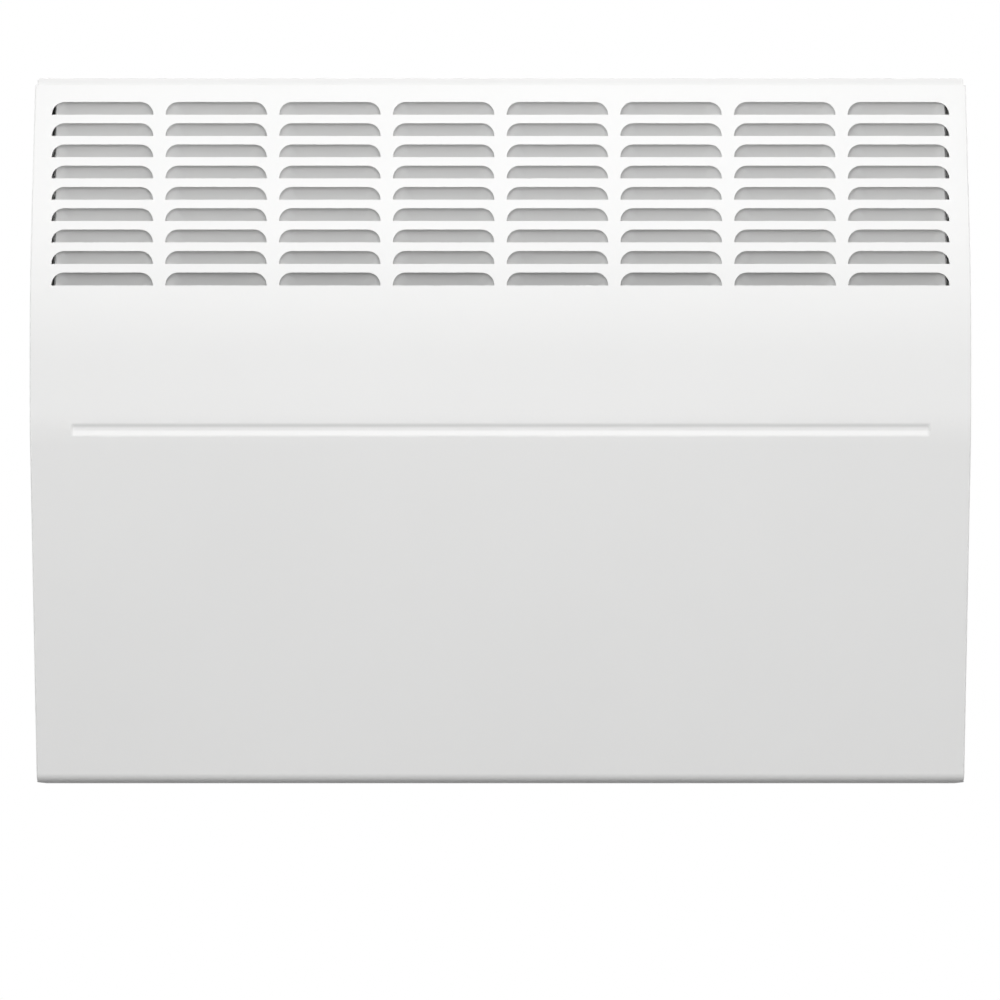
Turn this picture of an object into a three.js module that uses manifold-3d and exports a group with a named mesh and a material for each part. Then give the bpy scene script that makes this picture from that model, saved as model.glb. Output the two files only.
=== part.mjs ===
// Wall panel convector heater, in millimetres. +Z is up and the front faces -Y.
// The origin lies on the wall plane, at the middle of the wall bracket's top rail.
// Places are given as x, out (distance from the wall) and up (height above the casing's bottom).
import * as THREE from 'three';
import { mergeVertices } from 'three/addons/utils/BufferGeometryUtils.js';
import Module from 'manifold-3d';

const wasm = await Module();
wasm.setup();

// Casing
const width = 591;              // across the widest part of the front
const height = 442.7;           // casing bottom to the top of the lid
const depth = 98;               // wall to the most forward line of the front
const wallGap = 18;             // wall to the back sheet
const hangHeight = 385;         // casing bottom to the origin
const flankLean = 0.125;        // how far a flank draws in for each millimetre towards the wall
const frontSheet = 1;
const backSheet = 0.8;
const gap = 0.35;               // left between pieces that touch

// Front profile, from the top edge down to the rolled bottom edge
const panelTop = 438.3;
const upperTilt = THREE.MathUtils.degToRad(11);    // the louvred part leans back
const lowerTilt = THREE.MathUtils.degToRad(7.8);   // the part under the bead leans under
const upperArcTop = 363.3;
const apexTop = 268;            // the profile is upright between these two heights
const apexBottom = 232;
const creaseRadius = 150;
const rollRadius = 6.3;
const returnFlange = 10;

// Louvres, pressed inwards
const louvreColumns = 8;
const louvreRows = 9;
const columnPitch = 71.43;
const rowPitch = 13.42;
const louvreWidth = 64.05;
const louvreHeight = 8.3;
const louvreDepth = 6.4;
const firstLouvreTop = 427.8;
const louvreWall = 1.1;         // how far the back of a scoop stands off its front
const endSlit = 3.1;            // open outer end of the first and last column

// Recessed bead across the middle
const beadLow = 217.7;
const beadHigh = 225.2;
const beadHalfLength = 269.6;
const beadDepth = 1.8;

// Hanging
const hookX = 150;
const hookUp = 412;
const hookWidth = 26;
const hookReach = 23.2;
const windowPlay = 4;
const clearanceHalf = 27;       // half the cut-out in the back sheet round each hook
const plateSheet = 1.2;
const bracketSheet = 1.5;
const bracketHalf = 170;
const bracketLow = 60;
const bracketTop = 400;
const railHeight = 30;
const tongueUp = 74;
const bufferUp = 140;

// Heating
const elementOut = 56;
const elementUp = 95;
const elementLeft = -262;
const elementRight = 212;
const tubeRadius = 4.25;
const finPitch = 16;
const finCount = 26;
const deflectorOut = 32;
const deflectorLeft = -272;
const deflectorRight = 222;
const deflectorSheet = 0.8;

// Controls on the right flank
const controlOut = 58;
const controlUp = 252;
const recessDepth = 9.5;
const knobUp = 20;
const switchUp = -22;
const knobRadius = 15;
const shaftRadius = 3;

// Finishes
const coat = { color: 0xf3f3f1, roughness: 0.42, metalness: 0 };
const zinc = { color: 0xb9bcbf, roughness: 0.38, metalness: 1 };
const alloy = { color: 0xc8cacc, roughness: 0.45, metalness: 1 };
const steel = { color: 0x8d8f91, roughness: 0.4, metalness: 1 };
const plastic = { color: 0xe9e9e6, roughness: 0.5, metalness: 0 };
const darkPlastic = { color: 0x2b2b2c, roughness: 0.55, metalness: 0 };
const ceramic = { color: 0xefe9dc, roughness: 0.35, metalness: 0 };
const brass = { color: 0xc9a24a, roughness: 0.35, metalness: 1 };
const copper = { color: 0xb4693f, roughness: 0.4, metalness: 1 };
const rubber = { color: 0x1c1c1d, roughness: 0.8, metalness: 0 };
const blueWire = { color: 0x2f5fa8, roughness: 0.5, metalness: 0 };
const brownWire = { color: 0x6b3f24, roughness: 0.5, metalness: 0 };
const greenWire = { color: 0x4f8a3a, roughness: 0.5, metalness: 0 };

const heater = new THREE.Group();
const casing = new THREE.Group();
casing.position.z = -hangHeight;
heater.add(casing);

// A closed geometry as a solid that can be joined and cut.
function solid(geometry) {
  const bare = geometry.clone();
  bare.deleteAttribute('normal');
  bare.deleteAttribute('uv');
  const merged = mergeVertices(bare, 1e-4);
  const index = merged.index.array;
  const corners = [];
  for (let i = 0; i < index.length; i += 3) {
    const [a, b, c] = [index[i], index[i + 1], index[i + 2]];
    if (a !== b && b !== c && a !== c) corners.push(a, b, c);
  }
  return new wasm.Manifold(new wasm.Mesh({
    numProp: 3,
    vertProperties: new Float32Array(merged.attributes.position.array),
    triVerts: new Uint32Array(corners),
  }));
}

function join(pieces) {
  return pieces.reduce((whole, piece) => whole.add(piece));
}

function surface(body) {
  const mesh = body.getMesh();
  const geometry = new THREE.BufferGeometry();
  geometry.setAttribute('position', new THREE.BufferAttribute(mesh.vertProperties, mesh.numProp));
  geometry.setIndex(new THREE.BufferAttribute(mesh.triVerts, 1));
  geometry.computeVertexNormals();
  return geometry;
}

function addPart(name, shape, finish, parent = casing) {
  const geometry = shape instanceof THREE.BufferGeometry ? shape : surface(shape);
  const mesh = new THREE.Mesh(geometry, new THREE.MeshStandardMaterial({ ...finish, flatShading: true }));
  mesh.name = name;
  parent.add(mesh);
  return mesh;
}

// Plain shapes
function cuboid(x0, x1, y0, y1, z0, z1) {
  const box = new THREE.BoxGeometry(x1 - x0, y1 - y0, z1 - z0);
  return box.translate((x0 + x1) / 2, (y0 + y1) / 2, (z0 + z1) / 2);
}

function block(x0, x1, out0, out1, up0, up1) {
  return solid(cuboid(x0, x1, -out1, -out0, up0, up1));
}

function spot(x, out, up) {
  return new THREE.Vector3(x, -out, up);
}

function rod(radius, from, to, sides = 12) {
  const along = to.clone().sub(from);
  const bar = new THREE.CylinderGeometry(radius, radius, along.length(), sides);
  bar.applyQuaternion(new THREE.Quaternion().setFromUnitVectors(
    new THREE.Vector3(0, 1, 0), along.clone().normalize()));
  return bar.translate((from.x + to.x) / 2, (from.y + to.y) / 2, (from.z + to.z) / 2);
}

function extrude(points, length, basis) {
  const shape = new THREE.Shape(points.map(([a, b]) => new THREE.Vector2(a, b)));
  const prism = new THREE.ExtrudeGeometry(shape, { depth: length, bevelEnabled: false });
  return prism.applyMatrix4(basis);
}

// An outline of [out, up] points, drawn out along X
function sideProfile(points, x0, x1) {
  const basis = new THREE.Matrix4().makeBasis(
    new THREE.Vector3(0, -1, 0), new THREE.Vector3(0, 0, 1), new THREE.Vector3(-1, 0, 0));
  return solid(extrude(points, x1 - x0, basis.setPosition(x1, 0, 0)));
}

// An outline of [x, out] points, drawn out along Z
function planProfile(points, up0, up1) {
  const basis = new THREE.Matrix4().makeBasis(
    new THREE.Vector3(1, 0, 0), new THREE.Vector3(0, -1, 0), new THREE.Vector3(0, 0, -1));
  return solid(extrude(points, up1 - up0, basis.setPosition(0, 0, up1)));
}

// An outline of [x, up] points, drawn out from the wall
function frontProfile(points, out0, out1) {
  const basis = new THREE.Matrix4().makeBasis(
    new THREE.Vector3(1, 0, 0), new THREE.Vector3(0, 0, 1), new THREE.Vector3(0, -1, 0));
  return solid(extrude(points, out1 - out0, basis.setPosition(0, -out0, 0)));
}

// Corner points of a rectangle with rounded corners
function roundedRectangle(halfA, halfB, radius, steps = 3) {
  const points = [];
  for (let corner = 0; corner < 4; corner++) {
    const signA = corner === 0 || corner === 3 ? 1 : -1;
    const signB = corner < 2 ? 1 : -1;
    for (let i = 0; i <= steps; i++) {
      const angle = (corner + i / steps) * Math.PI / 2;
      points.push([
        signA * (halfA - radius) + radius * Math.cos(angle),
        signB * (halfB - radius) + radius * Math.sin(angle),
      ]);
    }
  }
  return points;
}

function shifted(points, a, b) {
  return points.map(([p, q]) => [p + a, q + b]);
}

// A bent strip of sheet: its middle line given thickness, mitred at the bends
function strip(line, thickness) {
  const near = [];
  const far = [];
  line.forEach(([a, b], i) => {
    const before = line[Math.max(i - 1, 0)];
    const after = line[Math.min(i + 1, line.length - 1)];
    const first = new THREE.Vector2(a - before[0], b - before[1]).normalize();
    const second = new THREE.Vector2(after[0] - a, after[1] - b).normalize();
    if (i === 0) first.copy(second);
    if (i === line.length - 1) second.copy(first);
    const normal = new THREE.Vector2(-first.y - second.y, first.x + second.x).normalize();
    const reach = thickness / 2 / normal.dot(new THREE.Vector2(-first.y, first.x));
    near.push([a + normal.x * reach, b + normal.y * reach]);
    far.unshift([a - normal.x * reach, b - normal.y * reach]);
  });
  return [...near, ...far];
}

function tube(points, radius, steps, sides = 6) {
  const section = [];
  for (let i = 0; i < sides; i++) {
    const angle = i / sides * 2 * Math.PI;
    section.push(new THREE.Vector2(radius * Math.cos(angle), radius * Math.sin(angle)));
  }
  const path = new THREE.CatmullRomCurve3(points, false, 'centripetal');
  return new THREE.ExtrudeGeometry(new THREE.Shape(section), { steps, extrudePath: path });
}

// Casing outline
const lean = Math.atan(flankLean);

function halfWidth(out, inset = 0) {
  return width / 2 - flankLean * (depth - out) - inset / Math.cos(lean);
}

function betweenFlanks(inset, out0, out1, up0, up1) {
  const near = halfWidth(out0, inset);
  const far = halfWidth(out1, inset);
  return planProfile([[-near, out0], [near, out0], [far, out1], [-far, out1]], up0, up1);
}

const upperRadius = (upperArcTop - apexTop) / Math.sin(upperTilt);
const creaseEnd = apexBottom - creaseRadius * Math.sin(lowerTilt);

// Where the front's outer face stands, and how far it tilts back, at a height
function frontAt(up) {
  if (up >= upperArcTop) {
    const out = depth - upperRadius * (1 - Math.cos(upperTilt)) - (up - upperArcTop) * Math.tan(upperTilt);
    return { out, up, tilt: upperTilt };
  }
  if (up >= apexTop) {
    const tilt = Math.asin((up - apexTop) / upperRadius);
    return { out: depth - upperRadius * (1 - Math.cos(tilt)), up, tilt };
  }
  if (up >= apexBottom) return { out: depth, up, tilt: 0 };
  if (up >= creaseEnd) {
    const tilt = -Math.asin((apexBottom - up) / creaseRadius);
    return { out: depth - creaseRadius * (1 - Math.cos(tilt)), up, tilt };
  }
  const out = depth - creaseRadius * (1 - Math.cos(lowerTilt)) - (creaseEnd - up) * Math.tan(lowerTilt);
  return { out, up, tilt: -lowerTilt };
}

const rollTangentUp = rollRadius * (1 - Math.sin(lowerTilt));
const rollCentreOut = frontAt(rollTangentUp).out - rollRadius * Math.cos(lowerTilt);

function stripMiddle(row) {
  return firstLouvreTop - louvreHeight - (rowPitch - louvreHeight) / 2 - row * rowPitch;
}

// The front's outer face from the top edge round the bottom roll, moved inwards by inset
function frontLine(inset) {
  const heights = [panelTop];
  for (let row = 4; row < louvreRows; row++) heights.push(stripMiddle(row));
  heights.push(apexTop + rowPitch, apexTop, apexBottom);
  const creaseSteps = 3;
  for (let i = 1; i <= creaseSteps; i++) {
    heights.push(apexBottom - creaseRadius * Math.sin(lowerTilt * i / creaseSteps));
  }
  const line = heights.map(up => {
    const { out, tilt } = frontAt(up);
    return [out - inset * Math.cos(tilt), up - inset * Math.sin(tilt)];
  });
  const rollSteps = 4;
  for (let i = 0; i <= rollSteps; i++) {
    const angle = lowerTilt + (Math.PI / 2 - lowerTilt) * i / rollSteps;
    const radius = rollRadius - inset;
    line.push([rollCentreOut + radius * Math.cos(angle), rollRadius - radius * Math.sin(angle)]);
  }
  return line;
}

// Frame of a point on a flank: local X points out of the flank and local Z up
function flankFrame(side, out, up) {
  const turn = side > 0 ? lean : Math.PI - lean;
  return new THREE.Matrix4().makeRotationZ(turn).setPosition(side * halfWidth(out), -out, up);
}

// A pressed pocket: inside a slot outline with rounded upper corners, the depth grows with the
// distance from the edge. Local x runs along the slot, y down the sheet and z into the casing.
// Each level is [distance from the edge, depth]; the last distance is the slot's height.
function pocket(halfLength, levels, frontDepth, cornerSteps = 3) {
  const tall = levels[levels.length - 1][0];
  const count = 2 * (cornerSteps + 1);
  const rings = [[0, frontDepth], ...levels];
  const positions = [];
  for (const [inset, deep] of rings) {
    const radius = tall - inset;
    for (let j = 0; j < count; j++) {
      const right = j <= cornerSteps;
      const angle = (right ? j : count - 1 - j) / cornerSteps * Math.PI / 2;
      const x = halfLength - tall + radius * Math.cos(angle);
      positions.push(right ? x : -x, tall - radius * Math.sin(angle), deep);
    }
  }
  const index = [];
  const quad = (a, b, c, d) => index.push(a, b, c, a, c, d);
  rings.slice(1).forEach((ring, k) => {
    for (let j = 0; j < count - 1; j++) {
      const here = k * count + j;
      quad(here, here + count, here + count + 1, here + 1);
    }
    const left = k * count + count - 1;
    const right = k * count;
    quad(right, left, left + count, right + count);
  });
  for (let j = 0; j < count / 2 - 1; j++) quad(j, j + 1, count - 2 - j, count - 1 - j);
  const geometry = new THREE.BufferGeometry();
  geometry.setAttribute('position', new THREE.Float32BufferAttribute(positions, 3));
  geometry.setIndex(index);
  return geometry;
}

// Scoop surface: steep at the upper edge, then flattening towards the mouth
function scoopLevels(tall, wall) {
  const steep = 1.9;
  return [
    [0, wall * 0.7],
    [steep + wall * 0.45, 0.66 * louvreDepth + wall],
    [tall, louvreDepth + wall],
  ];
}

function louvreFrame(row, column, shiftDown) {
  const up = firstLouvreTop - row * rowPitch;
  const low = frontAt(Math.max(stripMiddle(row), stripMiddle(louvreRows - 1)));
  const high = frontAt(Math.min(up + (rowPitch - louvreHeight) / 2, panelTop));
  const tilt = Math.atan2(low.out - high.out, high.up - low.up);
  const x = (column - (louvreColumns - 1) / 2) * columnPitch;
  const out = low.out - (up - low.up) * Math.tan(tilt);
  const down = new THREE.Vector3(0, -Math.sin(tilt), -Math.cos(tilt));
  const inward = new THREE.Vector3(0, Math.cos(tilt), -Math.sin(tilt));
  return new THREE.Matrix4().makeBasis(new THREE.Vector3(1, 0, 0), down, inward)
    .setPosition(new THREE.Vector3(x, -out, up).addScaledVector(down, shiftDown));
}

function louvres() {
  const mouthPlay = 0.1;
  const scoop = pocket(louvreWidth / 2 + louvreWall,
    scoopLevels(louvreHeight + louvreWall, louvreWall), frontSheet / 2, 2);
  const hollow = pocket(louvreWidth / 2, scoopLevels(louvreHeight, 0), -1);
  const through = 3 * louvreDepth;
  const slot = solid(pocket(louvreWidth / 2, [[0, through], [louvreHeight, through]], -1));
  const scoops = [];
  const cuts = [];
  for (let row = 0; row < louvreRows; row++) {
    for (let column = 0; column < louvreColumns; column++) {
      const lift = -louvreWall - mouthPlay;
      scoops.push(solid(scoop.clone().applyMatrix4(louvreFrame(row, column, lift))));
      cuts.push(solid(hollow.clone().applyMatrix4(louvreFrame(row, column, 0))));
      const outer = column === 0 ? -1 : column === louvreColumns - 1 ? 1 : 0;
      if (outer === 0) continue;
      const from = louvreWidth / 2 - endSlit;
      const [x0, x1] = outer > 0 ? [from, louvreWidth] : [-louvreWidth, -from];
      const end = slot.intersect(solid(cuboid(x0, x1, -through, through, -through, through)));
      cuts.push(solid(surface(end).applyMatrix4(louvreFrame(row, column, 0))));
    }
  }
  return { scoops, cuts };
}

function beadProfile(inset) {
  const flank = 2.2;
  const { out } = frontAt((beadLow + beadHigh) / 2);
  const face = out + (inset > 0 ? -frontSheet / 2 : 2);
  const floor = out - beadDepth - inset;
  return [
    [face, beadLow - inset - (inset > 0 ? 0 : flank)],
    [floor, beadLow - inset + flank],
    [floor, beadHigh + inset - flank],
    [face, beadHigh + inset + (inset > 0 ? 0 : flank)],
  ];
}

// Openings that several sheets share
const recessFrame = flankFrame(1, controlOut, controlUp);
const screwPlaces = [[-1, 60], [-1, 380], [1, 60], [1, 380]];
const screwOut = 27;

function screwHoles() {
  return screwPlaces.map(([side, up]) => {
    const hole = rod(2.1, new THREE.Vector3(-9, 0, 0), new THREE.Vector3(9, 0, 0), 8);
    return solid(hole.applyMatrix4(flankFrame(side, screwOut, up)));
  });
}

function frontPanel() {
  const outer = sideProfile([...frontLine(0), [wallGap, 0], [wallGap, panelTop]], -width, width)
    .intersect(betweenFlanks(0, wallGap - 10, depth + 10, -10, panelTop + 10));
  const line = frontLine(frontSheet);
  line[0] = [line[0][0] - 10 * Math.tan(upperTilt), line[0][1] + 10];
  const open = [
    [rollCentreOut - returnFlange, frontSheet],
    [rollCentreOut - returnFlange, -10],
    [wallGap - 10, -10],
    [wallGap - 10, panelTop + 10],
  ];
  const inner = sideProfile([...line, ...open], -width, width)
    .intersect(betweenFlanks(frontSheet, wallGap - 20, depth + 10, -20, panelTop + 20));
  const { scoops, cuts } = louvres();
  const bead = sideProfile(beadProfile(frontSheet), -beadHalfLength - 1, beadHalfLength + 1);
  const groove = sideProfile(beadProfile(0), -beadHalfLength, beadHalfLength);
  const recess = solid(cuboid(-9, 9, -20, 20, -44, 44).applyMatrix4(recessFrame));
  return outer.subtract(inner).add(join([...scoops, bead]))
    .subtract(join([...cuts, groove, recess, ...screwHoles()]));
}

function rearPanel() {
  const flange = 34;
  const bottomFlange = 26;
  const lidLow = 431.5;
  const lipOut = frontAt(panelTop).out - frontSheet / Math.cos(upperTilt) - gap;
  const outside = frontSheet + gap;
  const inside = outside + backSheet;
  const top = height - backSheet;
  const back = betweenFlanks(outside, wallGap, flange, 0, height);
  const lid = betweenFlanks(outside, wallGap, lipOut, lidLow, height);
  const backHollow = betweenFlanks(inside, wallGap + backSheet, flange + 10, backSheet, top);
  const lidHollow = betweenFlanks(inside, wallGap + backSheet, lipOut - backSheet, lidLow - 10, top);
  const bottomCut = block(-width, width, bottomFlange, flange + 10, -10, backSheet + 1);
  const sideNotch = block(-width, width, bottomFlange, flange + 10, -10, frontSheet + 10);
  const hookWindows = [-hookX, hookX].map(x => block(
    x - clearanceHalf, x + clearanceHalf, 10, 30, hookUp - 31, hookUp + 9));
  const tongueWindows = [-hookX, hookX].map(x => block(x - 14, x + 14, 10, 30, tongueUp - 6, tongueUp + 10));
  const ribs = [200, 260, 320].map(up => {
    const outline = [[wallGap + 0.4, up - 9], [wallGap + 3, up - 5], [wallGap + 3, up + 5], [wallGap + 0.4, up + 9]];
    return sideProfile(outline, -220, 190);
  });
  const ribHollows = [200, 260, 320].map(up => {
    const outline = [[wallGap - 1, up - 9], [wallGap + 2, up - 4], [wallGap + 2, up + 4], [wallGap - 1, up + 9]];
    return sideProfile(outline, -218, 188);
  });
  return join([back, lid]).subtract(join([backHollow, lidHollow])).add(join(ribs))
    .subtract(join([bottomCut, sideNotch, ...hookWindows, ...tongueWindows, ...ribHollows, ...screwHoles()]));
}

function inletGrille() {
  const low = frontSheet + gap;
  const near = wallGap + backSheet + gap;
  const far = rollCentreOut - 3;
  const half = halfWidth(near, frontSheet + backSheet + 2 * gap);
  const plate = planProfile([[-half, near], [half, near], [half, far], [-half, far]], low, low + 1);
  const slotPitch = 18;
  const slotCount = 27;
  const slots = [];
  for (let i = 0; i < slotCount; i++) {
    const x = -half + 14 + i * slotPitch;
    slots.push(block(x, x + 11, 28.5, 49.5, low - 5, low + 5));
  }
  slots.push(solid(rod(8, spot(grommetX, grommetOut, low - 5), spot(grommetX, grommetOut, low + 5), 16)));
  return plate.subtract(join(slots));
}

function heatDeflector() {
  const line = [
    [wallGap + backSheet + gap + deflectorSheet / 2, 62],
    [wallGap + backSheet + gap + deflectorSheet / 2, 46],
    [deflectorOut, 46],
    [deflectorOut, 384],
    [60, 427],
  ];
  return sideProfile(strip(line, deflectorSheet), deflectorLeft, deflectorRight);
}

// Sheathed rod with rectangular fins pressed on it
function heatingElement() {
  const finHalfOut = 15;
  const finHalfUp = 23;
  const sheath = solid(rod(tubeRadius, spot(elementLeft, elementOut, elementUp),
    spot(elementRight, elementOut, elementUp), 6));
  const fins = [];
  const middle = (elementLeft + elementRight) / 2;
  for (let i = 0; i < finCount; i++) {
    const x = middle + (i - (finCount - 1) / 2) * finPitch;
    fins.push(block(x - 0.4, x + 0.4, elementOut - finHalfOut, elementOut + finHalfOut,
      elementUp - finHalfUp, elementUp + finHalfUp));
  }
  const sockets = [[elementLeft, 1], [elementRight, -1]].map(([x, inward]) => solid(rod(2.8,
    spot(x - inward, elementOut, elementUp), spot(x + inward * 5, elementOut, elementUp), 8)));
  return join([sheath, ...fins]).subtract(join(sockets));
}

const elementBracketInset = 24;

function elementBracket(x, inward) {
  const face = deflectorOut + deflectorSheet / 2 + gap;
  const plate = block(x - 0.6, x + 0.6, face, 70, 72, 120);
  const [x0, x1] = inward > 0 ? [x - 0.6, x + 14] : [x - 14, x + 0.6];
  const foot = block(x0, x1, face, face + 1.2, 72, 120);
  const hole = solid(rod(7.3, spot(x - 5, elementOut, elementUp), spot(x + 5, elementOut, elementUp), 16));
  return plate.add(foot).subtract(hole);
}

// Ceramic bush on the rod's end: a collar outside the bracket and a spigot through its hole
function insulator(x, outward) {
  const profile = [[4.6, -5], [6.95, -5], [6.95, 1], [10, 1], [10, 5], [8, 8], [4.6, 8]];
  const bush = new THREE.LatheGeometry(
    [...profile, profile[0]].map(([r, y]) => new THREE.Vector2(r, y)), 12);
  bush.rotateZ(-outward * Math.PI / 2);
  return solid(bush.translate(x, -elementOut, elementUp));
}

function terminal(x, outward) {
  const pin = solid(rod(2.4, spot(x - outward * 3.5, elementOut, elementUp),
    spot(x + outward * 8, elementOut, elementUp), 8));
  const [x0, x1] = outward > 0 ? [x + 5, x + 16] : [x - 16, x - 5];
  const blade = block(x0, x1, elementOut - 3.15, elementOut + 3.15, elementUp - 0.4, elementUp + 0.4);
  return pin.add(blade);
}

function thermalCutout() {
  const face = deflectorOut + deflectorSheet / 2 + gap;
  const profile = [[0, 0], [11, 0], [11, 1.2], [8, 1.2], [8, 7], [6.5, 8.5], [6.5, 12], [0, 12]];
  const disc = new THREE.LatheGeometry(profile.map(([r, y]) => new THREE.Vector2(r, y)), 14);
  disc.rotateX(Math.PI).translate(60, -face, 330);
  const blades = [52, 66].map(x => block(x, x + 2, face + 6, face + 19, 327, 333));
  return join([solid(disc), ...blades]);
}

// Controls, in the flank's own frame
function controlBezel() {
  const flange = roundedRectangle(23, 47, 5);
  const pan = roundedRectangle(19.5, 43.5, 4);
  const hollow = roundedRectangle(18, 42, 3);
  return solid(flankPlate(flange, gap, gap + 1.2))
    .add(solid(flankPlate(pan, -recessDepth - 1.5, gap + 0.6)))
    .subtract(solid(flankPlate(hollow, -recessDepth, 5)))
    .subtract(solid(rod(3.8, new THREE.Vector3(-20, 0, knobUp), new THREE.Vector3(5, 0, knobUp), 12)))
    .subtract(solid(cuboid(-20, 5, -6.9, 6.9, switchUp - 10.9, switchUp + 10.9)));
}

// An outline of [toward the wall, up] points, thick along the flank's normal
function flankPlate(points, x0, x1) {
  const basis = new THREE.Matrix4().makeBasis(
    new THREE.Vector3(0, 1, 0), new THREE.Vector3(0, 0, 1), new THREE.Vector3(1, 0, 0));
  return extrude(points, x1 - x0, basis.setPosition(x0, 0, 0));
}

function controlHousing() {
  const shell = solid(flankPlate(roundedRectangle(24, 48, 5), -42, -frontSheet - gap));
  const hollow = solid(flankPlate(roundedRectangle(22.5, 46.5, 3.5), -40.5, 5));
  const wireSlot = solid(cuboid(-36, -16, 4, 19, -60, -40));
  return shell.subtract(hollow).subtract(wireSlot);
}

function thermostatBody() {
  const front = -recessDepth - 1.5 - gap;
  const block = solid(cuboid(front - 20, front, -14, 14, knobUp - 14, knobUp + 14));
  const cap = solid(cuboid(front - 23, front - 19, -10, 10, knobUp - 10, knobUp + 10));
  const bore = solid(rod(shaftRadius + gap, new THREE.Vector3(front - 15, 0, knobUp),
    new THREE.Vector3(front + 5, 0, knobUp), 12));
  const blades = [-8, 8].map(y => solid(cuboid(front - 28, front - 22, y - 0.4, y + 0.4, knobUp - 3, knobUp + 3)));
  return join([block, cap, ...blades]).subtract(bore);
}

function thermostatShaft() {
  return solid(rod(shaftRadius, new THREE.Vector3(-25, 0, knobUp), new THREE.Vector3(-3, 0, knobUp), 12));
}

function thermostatKnob() {
  const lobes = 16;
  const outline = [];
  for (let i = 0; i < 2 * lobes; i++) {
    const angle = i / lobes * Math.PI;
    const radius = i % 2 ? knobRadius - 0.7 : knobRadius;
    outline.push([radius * Math.cos(angle), radius * Math.sin(angle)]);
  }
  const low = -recessDepth + 0.5;
  const skirt = solid(flankPlate(shifted(outline, 0, knobUp), low, -1.5));
  const crown = solid(rod(12.5, new THREE.Vector3(-2, 0, knobUp), new THREE.Vector3(0.2, 0, knobUp), 32));
  const grip = solid(cuboid(-1, 1.5, -2, 2, knobUp - 11, knobUp + 12));
  const bore = solid(rod(shaftRadius + gap, new THREE.Vector3(low - 5, 0, knobUp),
    new THREE.Vector3(-3 + gap, 0, knobUp), 12));
  return join([skirt, crown, grip]).subtract(bore);
}

const rockerX = -9;
const rockerRest = THREE.MathUtils.degToRad(7);

function switchBody() {
  const seat = -recessDepth + gap;
  return solid(cuboid(seat, seat + 1.6, -8.6, 8.6, switchUp - 12.6, switchUp + 12.6))
    .add(solid(cuboid(-30, seat + 0.8, -6.5, 6.5, switchUp - 10.5, switchUp + 10.5)))
    .add(solid(cuboid(-37, -29, -3.15, 3.15, switchUp - 6.4, switchUp - 5.6)))
    .add(solid(cuboid(-37, -29, -3.15, 3.15, switchUp + 5.6, switchUp + 6.4)))
    .subtract(solid(cuboid(-15, 0, -5.1, 5.1, switchUp - 9.9, switchUp + 9.9)))
    .subtract(solid(rod(1.3, new THREE.Vector3(rockerX, -5.9, switchUp),
      new THREE.Vector3(rockerX, 5.9, switchUp), 8)));
}

function switchRocker() {
  const outline = [[3.4, -9.1], [2.2, 0], [3.4, 9.1], [-1.2, 9.1], [-3.4, 3], [-3.4, -3], [-1.2, -9.1]];
  const basis = new THREE.Matrix4().makeBasis(
    new THREE.Vector3(1, 0, 0), new THREE.Vector3(0, 0, 1), new THREE.Vector3(0, -1, 0));
  const paddle = solid(extrude(outline, 9.6, basis.setPosition(0, 4.8, 0)));
  const pivot = solid(rod(1, new THREE.Vector3(0, -5.6, 0), new THREE.Vector3(0, 5.6, 0), 8));
  const rocker = surface(paddle.add(pivot)).rotateY(rockerRest);
  return rocker.translate(rockerX, 0, switchUp);
}

// Supply side, at the lower right inside the casing
const blockX = 247;
const blockUp = 66;
const grommetX = 247;
const grommetOut = 39;
const inner = wallGap + backSheet + gap;

function terminalBlock() {
  const base = block(blockX - 18, blockX + 18, inner, inner + 4, blockUp - 9, blockUp + 9);
  const cells = [-11, 0, 11].map(dx => block(blockX + dx - 4.5, blockX + dx + 4.5,
    inner + 3, inner + 14, blockUp - 8, blockUp + 8));
  const ways = [-11, 0, 11].map(dx => solid(rod(1.8, spot(blockX + dx, inner + 8, blockUp + 2),
    spot(blockX + dx, inner + 8, blockUp + 12), 6)));
  const screws = [-11, 0, 11].map(dx => solid(rod(2, spot(blockX + dx, inner + 11, blockUp),
    spot(blockX + dx, inner + 16, blockUp), 6)));
  return join([base, ...cells]).subtract(join([...ways, ...screws]));
}

function cableClamp() {
  const saddle = block(blockX - 14, blockX + 14, inner, inner + 3, 34, 44)
    .add(block(blockX - 8, blockX + 8, inner, inner + 13, 34, 44));
  const way = solid(rod(4, spot(blockX, inner + 6.5, 30), spot(blockX, inner + 6.5, 50), 10));
  const heads = [-11, 11].map(dx => solid(rod(2.2, spot(blockX + dx, inner + 2, 39),
    spot(blockX + dx, inner + 5, 39), 8)));
  return join([saddle, ...heads]).subtract(way);
}

function cableGrommet() {
  const low = frontSheet + gap;
  const profile = [[4, -2.6], [9.6, -2.6], [10, -1.4], [10, -gap], [7.6, -gap],
    [7.6, 1 + gap], [10, 1 + gap], [10, 2.4], [6, 6], [4, 6]];
  const ring = new THREE.LatheGeometry([...profile, profile[0]].map(([r, y]) => new THREE.Vector2(r, y)), 14);
  return solid(ring.rotateX(Math.PI / 2).translate(grommetX, -grommetOut, low));
}

function earthStud() {
  const profile = [[0, 0], [6, 0], [6, 1], [2, 1], [2, 12], [0, 12]];
  const stud = new THREE.LatheGeometry(profile.map(([r, y]) => new THREE.Vector2(r, y)), 8);
  const nut = new THREE.CylinderGeometry(4, 4, 3, 6).translate(0, 2.6, 0);
  return solid(stud).add(solid(nut));
}

function wire(points) {
  return tube(points.map(([x, out, up]) => spot(x, out, up)), 1.2, 13, 5);
}

function casingScrew() {
  const profile = [[0, -8], [1.7, -8], [1.7, gap], [3.6, gap], [3.6, 1.2], [2.4, 2.2], [0, 2.2]];
  const screw = new THREE.LatheGeometry(profile.map(([r, y]) => new THREE.Vector2(r, y)), 8);
  return screw.rotateZ(-Math.PI / 2);
}

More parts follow.
